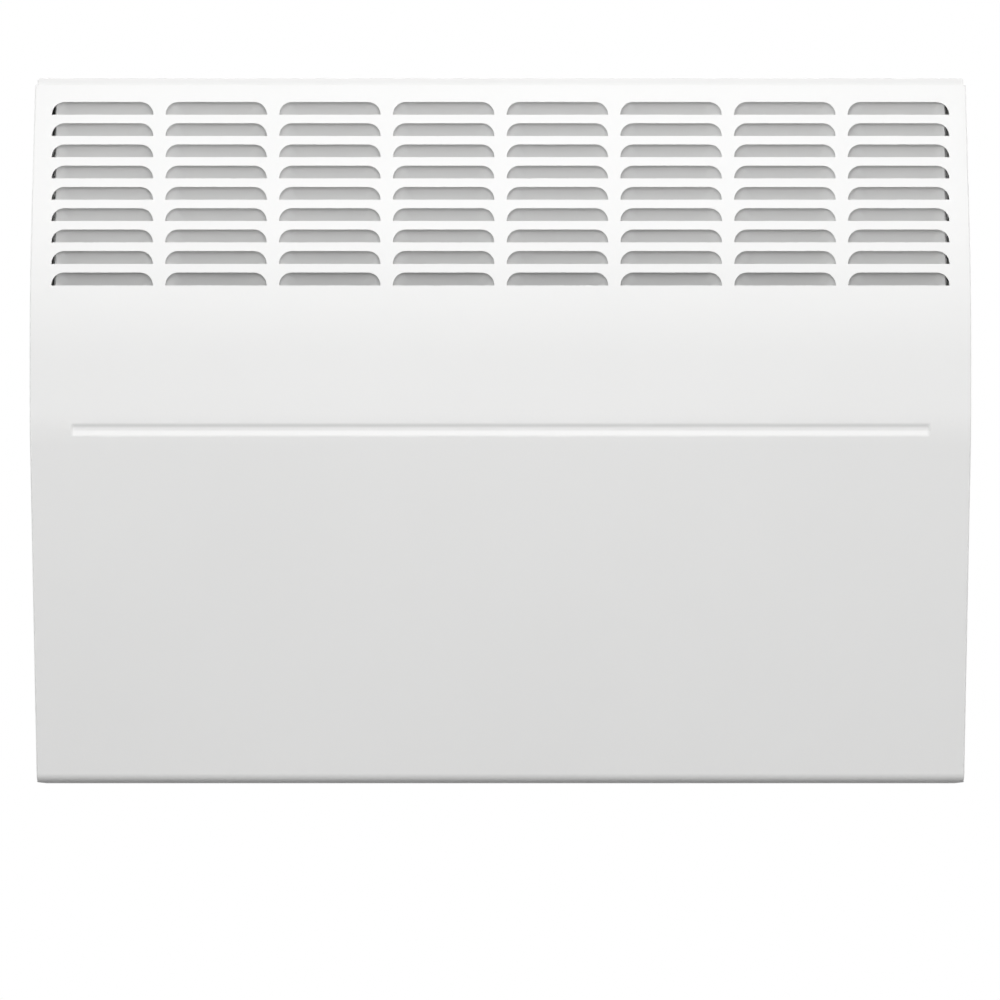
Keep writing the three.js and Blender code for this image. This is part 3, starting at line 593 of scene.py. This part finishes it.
def addSheet(halfField, crown, foot):    # plain sheet at the sides, above and below
    for side in (-1, 1):
        choose("EDGE", lambda edge: edge.is_boundary and near(middle(edge).x, side * halfField))
        pull(x=side * casing["sideSheet"])
    choose("EDGE", lambda edge: edge.is_boundary and near(middle(edge).z, crown))
    pull(z=sectionLength - crown)
    choose("EDGE", lambda edge: edge.is_boundary and near(middle(edge).z, foot))
    for level in list(levelsBelow(foot)):
        pull(z=level - foot)
        foot = level


def pressBead():         # the bead across the middle
    endOuter, endInner = bead["halfLength"], bead["halfLength"] - bead["endFlank"]
    inBand = lambda part: beadLow - hair < middle(part).z < beadHigh + hair
    for x in (-endOuter, -endInner, endInner, endOuter):
        choose("FACE", inBand)
        cut((x, 0, 0), (1, 0, 0))
    choose("VERT", lambda vert: floorLow - hair < vert.co.z < floorHigh + hair
           and abs(vert.co.x) < endInner + hair)
    shift(y=bead["depth"])
    choose("EDGE", lambda edge: inBand(edge) and turned(edge) > bendFrom
           and abs(middle(edge).x) < endOuter + hair)
    rounded(bead["soften"], 4)


def rollToSection(piece):    # bends the flat sheet along a curve
    line = bpy.data.curves.new("section", "CURVE")
    line.dimensions = "3D"
    spline = line.splines.new("POLY")
    count = round(sectionLength / casing["curveStep"])
    spline.points.add(count)
    for i, point in enumerate(spline.points):
        out, up = sectionAt(sectionLength * i / count)
        point.co = (0, -out, base + up, 1)
    line.twist_mode = "MINIMUM"
    section = bpy.data.objects.new("section", line)
    bpy.context.collection.objects.link(section)
    modify(piece, "CURVE", object=section, deform_axis="POS_Z")
    bpy.data.objects.remove(section)


def foldFlanks():        # trims the sheet by the flanks' planes and draws its sides back to the wall
    lean = casing["lean"]
    climbing = lambda edge: (abs(edge.verts[0].co.z - edge.verts[1].co.z)
                             > casing["cornerRise"] * edge.calc_length())
    for side in (-1, 1):
        bpy.ops.mesh.select_all(action="SELECT")
        cut((side * halfFront, frontY, 0), (side, lean, 0), clear_outer=True)
    for side in (-1, 1):
        choose("EDGE", lambda edge: edge.is_boundary and side * middle(edge).x > halfBack
               and near(side * middle(edge).x, halfFront - lean * (middle(edge).y - frontY))
               and max(vert.co.z for vert in edge.verts) > base + hair)
        pull()
        stretch(0, 0, 1, (side * halfBack, backY, 0))
    choose("VERT", lambda vert: vert.co.z < base + hair
           and casing["returnFlange"] / 2 - rollOut < vert.co.y < backY - 10 * hair)
    stretch(x=1 - casing["returnInset"] / halfBack)
    choose("EDGE", lambda edge: folded(edge) and abs(middle(edge).x) > halfBack and climbing(edge))
    rounded(casing["cornerRadius"], 4)


def openForControls():   # the opening in the right flank
    place = controlPlace.translation
    toWall = controlPlace.to_3x3() @ Vector((0, 1, 0))
    halfWide, halfTall = control["opening"]
    inFlank = lambda face: middle(face).x > halfBack and face.normal.x > casing["flankFacing"]
    inOpening = lambda face: (inFlank(face) and abs(middle(face).z - place.z) < halfTall
                              and abs((middle(face) - place).dot(toWall)) < halfWide)
    for offset in (-halfWide, halfWide):
        choose("FACE", inFlank)
        cut(place + toWall * offset, toWall)
    for offset in (-halfTall, halfTall):
        choose("FACE", inFlank)
        cut(place + Vector((0, 0, offset)), (0, 0, 1))
    choose("FACE", inOpening)
    bpy.ops.mesh.delete(type="FACE")


def formFront():
    top, bottom = alongAt(louvre["firstTop"]), alongAt(louvre["lastTop"])
    pitch = (top - bottom) / (louvre["rows"] - 1)
    piece = pressLouvre(pitch)
    repeat(piece, louvre["columns"], (louvre["across"], 0, 0))
    repeat(piece, louvre["rows"], (0, 0, -pitch))
    halfField = louvre["across"] * louvre["columns"] / 2
    piece.location = (louvre["across"] / 2 - halfField, 0, top - louvre["height"])
    crown = top + (pitch - louvre["height"]) / 2
    begin(piece.name)
    openEnds(halfField)
    addSheet(halfField, crown, crown - pitch * louvre["rows"])
    pressBead()
    close()
    rollToSection(piece)
    begin(piece.name)
    foldFlanks()
    openForControls()
    bpy.ops.mesh.select_all(action="SELECT")
    bpy.ops.mesh.dissolve_degenerate(threshold=speck)
    close()
    modify(piece, "SOLIDIFY", thickness=casing["sheet"], offset=-1)
    return piece


def block(name, x, out, up):   # a box between pairs of bounds, open for editing
    bpy.ops.mesh.primitive_cube_add(size=1)
    box = bpy.context.object
    box.scale = [last - first for first, last in (x, out, up)]
    box.location = spot(*[(first + last) / 2 for first, last in (x, out, up)])
    return begin(name)


def blank(name):         # an empty mesh, open for editing
    bpy.ops.mesh.primitive_plane_add(size=1)
    piece = begin(name)
    bpy.ops.mesh.select_all(action="SELECT")
    bpy.ops.mesh.delete(type="VERT")
    return piece


def panel(size, corner, facing):     # a rectangle with round corners, added to the mesh being edited
    bpy.ops.mesh.select_all(action="DESELECT")
    bpy.ops.mesh.primitive_plane_add(size=1, rotation=facing)
    stretch(*size)
    bpy.ops.mesh.bevel(offset=corner, segments=6, affect="VERTICES")


def bridgeOutlines():    # turns two nested faces into the sheet between them
    bpy.ops.mesh.select_all(action="SELECT")
    bpy.ops.mesh.delete(type="ONLY_FACE")
    bpy.ops.mesh.select_all(action="SELECT")
    bpy.ops.mesh.bridge_edge_loops()


def turn(name, profile, sides=48, hollow=False):   # rings of radius and height round Z
    (radius, height), *rings = profile
    fill = "NOTHING" if hollow else "NGON"
    bpy.ops.mesh.primitive_circle_add(vertices=sides, radius=radius, location=(0, 0, height), fill_type=fill)
    piece = begin(name)
    bpy.ops.mesh.select_mode(type="EDGE" if hollow else "FACE")
    bpy.ops.mesh.select_all(action="SELECT")
    for nextRadius, nextHeight in rings:
        pull(z=nextHeight - height)
        stretch(nextRadius / radius, nextRadius / radius)
        radius, height = nextRadius, nextHeight
    weld()
    bpy.ops.mesh.normals_make_consistent(inside=False)
    return piece


def bentStrip(name, line, x0, x1, sheet, bend):    # sheet folded along a line of out and up
    bpy.ops.mesh.primitive_plane_add(size=1)
    piece = begin(name)
    choose("VERT", lambda vert: vert.co.y > 0)
    bpy.ops.mesh.delete(type="VERT")
    bpy.ops.mesh.select_all(action="SELECT")
    stretch(x1 - x0, 1, 1)
    here = spot((x0 + x1) / 2, *line[0])
    shift(here.x, here.y + 0.5, here.z)          # the edge kept from the plane is at y = -0.5
    for point in line[1:]:
        there = spot((x0 + x1) / 2, *point)
        pull(*(there - here))
        here = there
    choose("EDGE", lambda edge: turned(edge) > 8)
    rounded(bend, 4)
    close()
    modify(piece, "SOLIDIFY", thickness=sheet, offset=0, use_even_offset=True)
    return piece


def carve(piece, cutter):   # cuts one solid out of another
    modify(piece, "BOOLEAN", object=cutter, operation="DIFFERENCE", solver="EXACT")
    bpy.data.objects.remove(cutter)


def soften(name, node, edge):    # a CAD node's form with its edges eased
    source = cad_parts[node]
    piece = bpy.data.objects.new(name, source.data.copy())
    bpy.context.collection.objects.link(piece)
    pick(piece)
    bpy.ops.mesh.customdata_custom_splitnormals_clear()
    begin(name)
    weld(hair)
    bpy.ops.mesh.dissolve_limited(angle_limit=math.radians(1))
    bpy.ops.mesh.normals_make_consistent(inside=False)
    choose("EDGE", lambda part: turned(part) > 30)
    rounded(edge, 2, clamp_overlap=True)
    close()
    return piece


back = {
    "sheet": 0.0008, "inset": 0.00135, "lipGap": 0.00035,
    "flange": 0.034, "foot": 0.026, "lid": 0.4315, "top": 0.4427,
    "sideEdge": 0.0018, "frontEdge": 0.0008, "fold": 0.001,
    "hookAt": 0.15, "hookHalf": 0.027, "hookUp": (0.381, 0.421),
    "tongueHalf": 0.014, "tongueUp": (0.068, 0.084),
    "ribs": (0.2, 0.26, 0.32), "ribFrom": -0.22, "ribTo": 0.19, "ribHalf": 0.009,
    "ribSlope": 0.0045, "ribDepth": 0.0022, "ribSoften": 0.0015, "ribField": (0.24, 0.004),
}


def openTray(lidLow):    # leaves a tray that is open in front under its lid
    onFoot = lambda face: middle(face).z < base + 10 * hair
    bpy.ops.mesh.select_all(action="SELECT")
    cut((0, 0, lidLow), (0, 0, 1))
    choose("FACE", lambda face: middle(face).z < lidLow)
    cut((0, -back["flange"], 0), (0, 1, 0))
    choose("FACE", onFoot)
    cut((0, -back["foot"], 0), (0, 1, 0))
    choose("FACE", lambda face: middle(face).z < lidLow and middle(face).y < -back["flange"]
           or onFoot(face) and middle(face).y < -back["foot"])
    bpy.ops.mesh.delete(type="FACE")


def foldTray(lipOut):    # its folded edges
    onLine = lambda edge, y: all(near(vert.co.y, y) for vert in edge.verts)
    choose("EDGE", lambda edge: folded(edge) and abs(middle(edge).x) > halfFront / 2
           and near(middle(edge).z, base + back["top"]))
    rounded(back["sideEdge"], 5)
    choose("EDGE", lambda edge: folded(edge) and onLine(edge, -lipOut))
    rounded(back["frontEdge"], 4)
    choose("EDGE", lambda edge: folded(edge) and onLine(edge, backY))
    rounded(back["fold"], 3)


def pressBack():         # cut-outs and ribs of the back sheet
    onBack = lambda face: all(near(vert.co.y, backY) for vert in face.verts)

    def inside(x0, x1, up0, up1):
        return lambda face: (onBack(face) and x0 < middle(face).x < x1
                             and base + up0 < middle(face).z < base + up1)

    kinds = ((back["hookHalf"], back["hookUp"]), (back["tongueHalf"], back["tongueUp"]))
    holes = [(side * back["hookAt"] - half, side * back["hookAt"] + half, *up)
             for half, up in kinds for side in (-1, 1)]
    ribHalf = back["ribHalf"]
    ribs = [(back["ribFrom"], back["ribTo"], up - ribHalf, up + ribHalf) for up in back["ribs"]]
    for x0, x1, up0, up1 in holes + ribs:
        for up in (up0, up1):
            choose("FACE", onBack)
            cut((0, 0, base + up), (0, 0, 1))
        for x in (x0, x1):
            choose("FACE", inside(-1, 1, up0, up1))
            cut((x, 0, 0), (1, 0, 0))
    for hole in holes:
        choose("FACE", inside(*hole))
        bpy.ops.mesh.delete(type="FACE")
    for rib in ribs:
        choose("FACE", inside(*rib))
        bpy.ops.mesh.inset(thickness=back["ribSlope"], depth=-back["ribDepth"])
    halfWide, deep = back["ribField"]
    choose("EDGE", lambda edge: bendFrom < turned(edge) < foldFrom
           and abs(middle(edge).x) < halfWide and middle(edge).y > backY - deep)
    rounded(back["ribSoften"], 3)


def formBack():
    lipOut = sectionAt(sectionLength)[0] - casing["sheet"] / math.cos(topTilt) - back["lipGap"]
    piece = block("back_casing", (-casing["blank"], casing["blank"]), (-backY, lipOut), (0, back["top"]))
    lean = casing["lean"]
    half = halfFront - back["inset"] * math.hypot(1, lean)
    for side in (-1, 1):
        bpy.ops.mesh.select_all(action="SELECT")
        cut((side * half, frontY, 0), (side, lean, 0), clear_outer=True, use_fill=True)
    openTray(base + back["lid"])
    foldTray(lipOut)
    pressBack()
    close()
    modify(piece, "SOLIDIFY", thickness=back["sheet"], offset=-1, use_even_offset=True)
    return piece


def outlineOf(x, test):    # chooses the edges that lie at one depth
    choose("EDGE", lambda edge: all(near(vert.co.x, x) for vert in edge.verts) and test(edge))


def formBezel():
    top, floor, reach = control["flangeTop"], control["floor"], control["cutterReach"]
    piece = blank("bezel_moulding")
    for name in ("flange", "hollow"):
        panel((1, *control[name]), control[name + "Corner"], (0, math.radians(90), 0))
        shift(top)
    bridgeOutlines()
    halfWide, halfTall = (side / 2 + hair for side in control["hollow"])
    inHollow = lambda edge: all(abs(vert.co.y) < halfWide and abs(vert.co.z) < halfTall
                                for vert in edge.verts)
    outlineOf(top, lambda edge: edge.is_boundary and not inHollow(edge))
    pull(x=control["flangeBack"] - top)
    outlineOf(top, lambda edge: edge.is_boundary and inHollow(edge))
    pull(x=floor - top)
    bpy.ops.mesh.edge_face_add()
    bpy.ops.mesh.select_all(action="SELECT")
    bpy.ops.mesh.normals_make_consistent(inside=False)
    for level in (top, floor):
        choose("EDGE", lambda edge: folded(edge) and near(middle(edge).x, level))
        rounded(control["edge"], 4)
    close()
    modify(piece, "SOLIDIFY", thickness=control["wall"], offset=-1, use_even_offset=True)
    hole = turn("hole", [(control["shaftHole"], -reach), (control["shaftHole"], reach)], 32)
    close()
    hole.matrix_world = Matrix.Translation((floor, 0, knobUp)) @ zToX
    carve(piece, hole)
    bpy.ops.mesh.primitive_cube_add(size=1, location=(floor, 0, switchUp))
    window = bpy.context.object
    window.scale = (2 * reach, *control["switchHole"])
    carve(piece, window)
    piece.matrix_world = controlPlace
    return piece


dial = {"ticks": 11, "sweep": 270, "from": 0.0157, "to": 0.0172, "wide": 0.0005, "raised": 0.0002}


def formDial():          # ticks round the knob, the first one straight up
    bpy.ops.mesh.primitive_cube_add(size=1)
    piece = begin("dial_marks")
    bpy.ops.mesh.select_all(action="SELECT")
    stretch(2 * dial["raised"], dial["wide"], dial["to"] - dial["from"])
    shift(x=control["floor"], z=(dial["from"] + dial["to"]) / 2)
    step = math.radians(dial["sweep"] / (dial["ticks"] - 1))
    for tick in range(dial["ticks"] - 1):
        bpy.ops.mesh.duplicate()
        bpy.ops.transform.rotate(value=step, orient_axis="X", center_override=(0, 0, 0))
    bpy.ops.mesh.select_all(action="SELECT")
    shift(z=knobUp)
    close()
    piece.matrix_world = controlPlace
    return piece


knob = {
    "lobes": 24, "lobeSteps": 6, "radius": 0.015, "valley": 0.0007, "back": -0.009, "shoulder": -0.0015,
    "crown": 0.0125, "face": 0.0002, "soften": 0.0005,
    "grip": (0.004, 0.023), "gripTop": 0.0015, "gripSunk": 0.0006, "gripClear": 0.0002, "gripShift": 0.0005,
    "gripSoften": 0.0007,
}


def formKnob():          # its axis along Z while it is made
    count = knob["lobeSteps"]
    sides = knob["lobes"] * count
    radius, shoulder, crown, face = knob["radius"], knob["shoulder"], knob["crown"], knob["face"]
    profile = [(radius, knob["back"]), (radius, shoulder), (crown, shoulder), (crown, face)]
    piece = turn("knob_moulding", profile, sides)
    for phase in range(count):
        share = (1 - math.cos(phase / count * math.tau)) / 2
        choose("VERT", lambda vert: vert.co.xy.length > (crown + radius) / 2
               and round(math.atan2(vert.co.y, vert.co.x) / math.tau * sides) % count == phase)
        factor = 1 - share * knob["valley"] / radius
        stretch(factor, factor)
    choose("EDGE", lambda edge: folded(edge) and middle(edge).z > shoulder - hair)
    rounded(knob["soften"], 3)
    bpy.ops.mesh.select_all(action="DESELECT")
    bpy.ops.mesh.primitive_cube_add(size=1)
    wide, long = knob["grip"]
    tall = knob["gripTop"] - face + knob["gripSunk"]
    stretch(long, wide, tall)
    shift(x=knob["gripShift"], z=knob["gripTop"] - tall / 2)
    choose("EDGE", lambda edge: folded(edge) and middle(edge).z > face + knob["gripClear"]
           and abs(middle(edge).y) < wide)
    rounded(knob["gripSoften"], 4)
    close()
    return piece


rocker = {"bottom": -0.0012, "end": 0.0034, "waist": 0.0022, "belly": 0.0022, "width": 0.0096,
          "length": 0.0182, "bands": 10, "soften": 0.0005, "pivot": -0.009, "tilt": 7}
marks = {"at": 0.0058, "raised": 0.0002, "stroke": (0.0006, 0.0034), "strokeLean": -0.1,
         "ring": (0.0014, 0.0003), "ringFlat": 0.35, "ringLift": 0.00005, "ringLean": 0.12}


def formRocker():        # its pivot at the origin while it is made
    bottom, end, length, count = rocker["bottom"], rocker["end"], rocker["length"], rocker["bands"]
    bpy.ops.mesh.primitive_cube_add(size=1)
    piece = begin("rocker_moulding")
    bpy.ops.mesh.select_all(action="SELECT")
    stretch(end - bottom, rocker["width"], length)
    shift(x=(bottom + end) / 2)
    for i in range(1, count):
        bpy.ops.mesh.select_all(action="SELECT")
        cut((0, 0, length * (i / count - 0.5)), (0, 0, 1))
    for i in range(count + 1):
        share = 2 * i / count - 1
        onLine = lambda vert: near(vert.co.z, share * length / 2)
        choose("VERT", lambda vert: onLine(vert) and vert.co.x > bottom + 10 * hair)
        shift(x=-(end - rocker["waist"]) * (1 - share ** 2))
        choose("VERT", lambda vert: onLine(vert) and near(vert.co.x, bottom))
        shift(x=-rocker["belly"] * (1 - abs(share) ** 3))
    choose("EDGE", lambda edge: turned(edge) > 40)
    rounded(rocker["soften"], 3)
    close()
    return piece


def formMarks():         # a stroke and a ring, on the two ends of the rocker
    def heightAt(z):
        share = 2 * z / rocker["length"]
        return rocker["end"] - (rocker["end"] - rocker["waist"]) * (1 - share ** 2)

    def layDown(lean, z):
        bpy.ops.transform.rotate(value=lean, orient_axis="Y", center_override=(heightAt(z), 0, z))

    at = marks["at"]
    bpy.ops.mesh.primitive_cube_add(size=1)
    piece = begin("rocker_marks")
    bpy.ops.mesh.select_all(action="SELECT")
    stretch(marks["raised"], *marks["stroke"])
    shift(x=heightAt(at), z=at)
    layDown(marks["strokeLean"], at)
    bpy.ops.mesh.select_all(action="DESELECT")
    ring, wire = marks["ring"]
    bpy.ops.mesh.primitive_torus_add(major_radius=ring, minor_radius=wire, major_segments=32,
                                     minor_segments=8, rotation=(0, math.radians(90), 0))
    stretch(marks["ringFlat"], 1, 1)
    shift(x=heightAt(-at) + marks["ringLift"], z=-at)
    layDown(marks["ringLean"], -at)
    close()
    return piece


screws = {"out": 0.027, "up": (0.06, 0.38),
          "profile": [(0.0017, -0.008), (0.0017, 0.00035), (0.0036, 0.00035), (0.0036, 0.0011),
                      (0.00345, 0.0015), (0.003, 0.0019), (0.0023, 0.0022)],
          "recess": (0.0042, 0.0009, 0.0013)}


def formScrew():
    piece = turn("casing_screw", screws["profile"], 32)
    close()
    long, wide, deep = screws["recess"]
    for scale in ((long, wide, 2 * deep), (wide, long, 2 * deep)):
        bpy.ops.mesh.primitive_cube_add(size=1, location=(0, 0, screws["profile"][-1][1]))
        bpy.context.object.scale = scale
        carve(piece, bpy.context.object)
    return piece


bracket = {
    "half": 0.17, "up": (0.06, 0.4), "corner": 0.006, "sheet": 0.0015,
    "window": 0.28, "windowCorner": 0.014, "turned": 0.006, "fold": 0.0012,
    "hookHalf": 0.013, "hookTop": 0.41175, "hookOut": 0.02145, "hookTip": 0.421,
    "tongueHalf": 0.009, "tongueOut": (0.0002, 0.0232), "tongueUp": (0.074, 0.076), "tongueCorner": 0.004,
    "slot": (0.016, 0.006), "slotX": 0.155, "slotUps": (0.105, 0.345), "cutterReach": 0.01,
}


def formSlot(side, up):  # what is cut out for a fixing screw
    x, (long, tall), reach = side * bracket["slotX"], bracket["slot"], bracket["cutterReach"]
    cutter = block("slot", (x - long / 2, x + long / 2), (-reach, reach), (up - tall / 2, up + tall / 2))
    choose("EDGE", lambda edge: abs(edge.verts[0].co.y - edge.verts[1].co.y) > reach)
    rounded(tall / 2 - hair, 8)
    close()
    return cutter


def formTongue(side):
    x, half, (wall, tip) = side * back["hookAt"], bracket["tongueHalf"], bracket["tongueOut"]
    tongue = block("tongue", (x - half, x + half), (wall, tip), bracket["tongueUp"])
    choose("EDGE", lambda edge: not near(edge.verts[0].co.z, edge.verts[1].co.z)
           and near(middle(edge).y, -tip))
    rounded(bracket["tongueCorner"], 6)
    close()
    return tongue


def formBracket():
    low, high = bracket["up"]
    centre = base + (low + high) / 2
    half = bracket["window"] / 2
    outlines = (((2 * bracket["half"], 1, high - low), bracket["corner"]),
                ((bracket["window"], 1, bracket["window"]), bracket["windowCorner"]))
    piece = blank("bracket_pressing")
    for size, corner in outlines:
        panel(size, corner, (math.radians(-90), 0, 0))
        shift(z=centre)
    bridgeOutlines()
    bpy.ops.mesh.select_all(action="SELECT")
    bpy.ops.mesh.normals_make_consistent(inside=False)
    if bmesh.from_edit_mesh(bpy.context.edit_object.data).faces[:][0].normal.y < 0:
        bpy.ops.mesh.flip_normals()

    # edges turned out round the window
    straight, reach = half - bracket["windowCorner"] + 10 * hair, half + 10 * hair
    inWindow = lambda edge: all(abs(vert.co.x) < reach and abs(vert.co.z - centre) < reach
                                for vert in edge.verts)
    offCorner = lambda edge: (all(abs(vert.co.x) < straight for vert in edge.verts)
                              or all(abs(vert.co.z - centre) < straight for vert in edge.verts))
    choose("EDGE", lambda edge: edge.is_boundary and inWindow(edge) and offCorner(edge))
    pull(y=-bracket["turned"])

    # hooks folded from the top rail
    for side in (-1, 1):
        for edgeAt in (-1, 1):
            choose("FACE", lambda face: middle(face).z > centre + half and abs(face.normal.y) > 0.9)
            cut((side * back["hookAt"] + edgeAt * bracket["hookHalf"], 0, 0), (1, 0, 0))
    choose("EDGE", lambda edge: edge.is_boundary and near(middle(edge).z, base + high)
           and abs(abs(middle(edge).x) - back["hookAt"]) < bracket["hookHalf"])
    pull(z=bracket["hookTop"] - high)
    pull(y=-bracket["hookOut"])
    pull(z=bracket["hookTip"] - bracket["hookTop"])
    choose("EDGE", folded)
    rounded(bracket["fold"], 4)
    close()
    modify(piece, "SOLIDIFY", thickness=bracket["sheet"], offset=-1, use_even_offset=True)
    for side in (-1, 1):
        for up in bracket["slotUps"]:
            carve(piece, formSlot(side, up))
        pick(piece, formTongue(side))
        bpy.ops.object.join()
    return piece


buffers = {"x": 0.155, "out": 0.00185, "up": 0.14,
           "profile": [(0.009, 0), (0.009, 0.003), (0.007, 0.005), (0.007, 0.0148), (0.0066, 0.0155),
                       (0.006, 0.0158)]}
catches = {"x": 0.11, "half": 0.007, "sheet": 0.0008, "bend": 0.0008,
           "line": [(0.00225, 0.086), (0.00225, 0.066), (0.005, 0.0625), (0.0166, 0.07), (0.0145, 0.075)]}
hangerEdge = 0.0003
grommet = {"place": (0.247, 0.039, 0.00135),
           "profile": [(0.004, -0.0012), (0.0094, -0.0012), (0.0098, -0.001), (0.01, -0.0007),
                       (0.01, -0.00035), (0.0076, -0.00035), (0.0076, 0.00135), (0.01, 0.00135),
                       (0.01, 0.0024), (0.006, 0.006), (0.0042, 0.006), (0.004, 0.0058), (0.004, -0.0012)]}


def formBuffer(name, side):
    pad = turn(name, buffers["profile"])
    close()
    pad.matrix_world = (Matrix.Translation(spot(side * buffers["x"], buffers["out"], buffers["up"]))
                        @ Matrix.Rotation(math.radians(90), 4, "X"))
    return pad


def formCatch(name, side):
    x, half = side * catches["x"], catches["half"]
    return bentStrip(name, catches["line"], x - half, x + half, catches["sheet"], catches["bend"])


def formGrommet():
    ring = turn("grommet_ring", grommet["profile"], hollow=True)
    close()
    ring.matrix_world = Matrix.Translation(spot(*grommet["place"]))
    return ring


frontCasing = formFront()
dress(frontCasing, "heater", "powder_coat", "front_panel")
print("casing front ready,", len(frontCasing.data.polygons), "faces")
dress(formBack(), "heater", "powder_coat", "rear_panel")
print("casing back ready")

dress(formBezel(), "heater", "white_plastic", "control_bezel")
dress(formDial(), "heater", "dark_plastic")
knobPiece = formKnob()
knobPiece.matrix_world = controlPlace @ Matrix.Translation((0, 0, knobUp)) @ zToX
dress(knobPiece, "knob", "white_plastic", "thermostat_knob")
pivot = (controlPlace @ Matrix.Translation((rocker["pivot"], 0, switchUp))
         @ Matrix.Rotation(math.radians(rocker["tilt"]), 4, "Y"))
rockerPiece = formRocker()
rockerPiece.matrix_world = pivot
dress(rockerPiece, "rocker", "dark_plastic", "switch_rocker")
marksPiece = formMarks()
marksPiece.matrix_world = pivot
dress(marksPiece, "rocker", "white_plastic")
dress(soften("switch_frame", "switch_body", control["switchEdge"]), "heater", "dark_plastic", "switch_body")
print("controls ready")

pattern = formScrew()
screwPlaces = [(side, up) for side in (1, -1) for up in screws["up"]]
for number, (side, up) in enumerate(screwPlaces, 1):
    piece = pattern.copy()
    piece.data = pattern.data.copy()
    piece.name = f"casing_screw_piece_{number}"
    bpy.context.collection.objects.link(piece)
    facing = flankTurn if side > 0 else math.pi - flankTurn
    piece.matrix_world = (Matrix.Translation(spot(side * halfAt(screws["out"]), screws["out"], up))
                          @ Matrix.Rotation(facing, 4, "Z") @ zToX)
    dress(piece, "heater", "zinc_steel", f"casing_screw_{number}")
bpy.data.objects.remove(pattern)

for side, word in ((-1, "left"), (1, "right")):
    dress(formBuffer(f"buffer_pad_{word}", side), "bracket", "black_rubber", f"buffer_{word}")
    dress(formCatch(f"catch_{word}", side), "bracket", "zinc_steel", f"catch_spring_{word}")
    plate = soften(f"hanger_plate_{word}", f"hanger_{word}", hangerEdge)
    dress(plate, "heater", "zinc_steel", f"hanger_{word}")
dress(formBracket(), "bracket", "zinc_steel", "wall_bracket")
dress(formGrommet(), "heater", "black_rubber", "cable_grommet")
print("fittings ready")

for name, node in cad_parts.items():
    for place in node.material_slots:
        place.material = finishes[place.material.name.split(".")[0]]
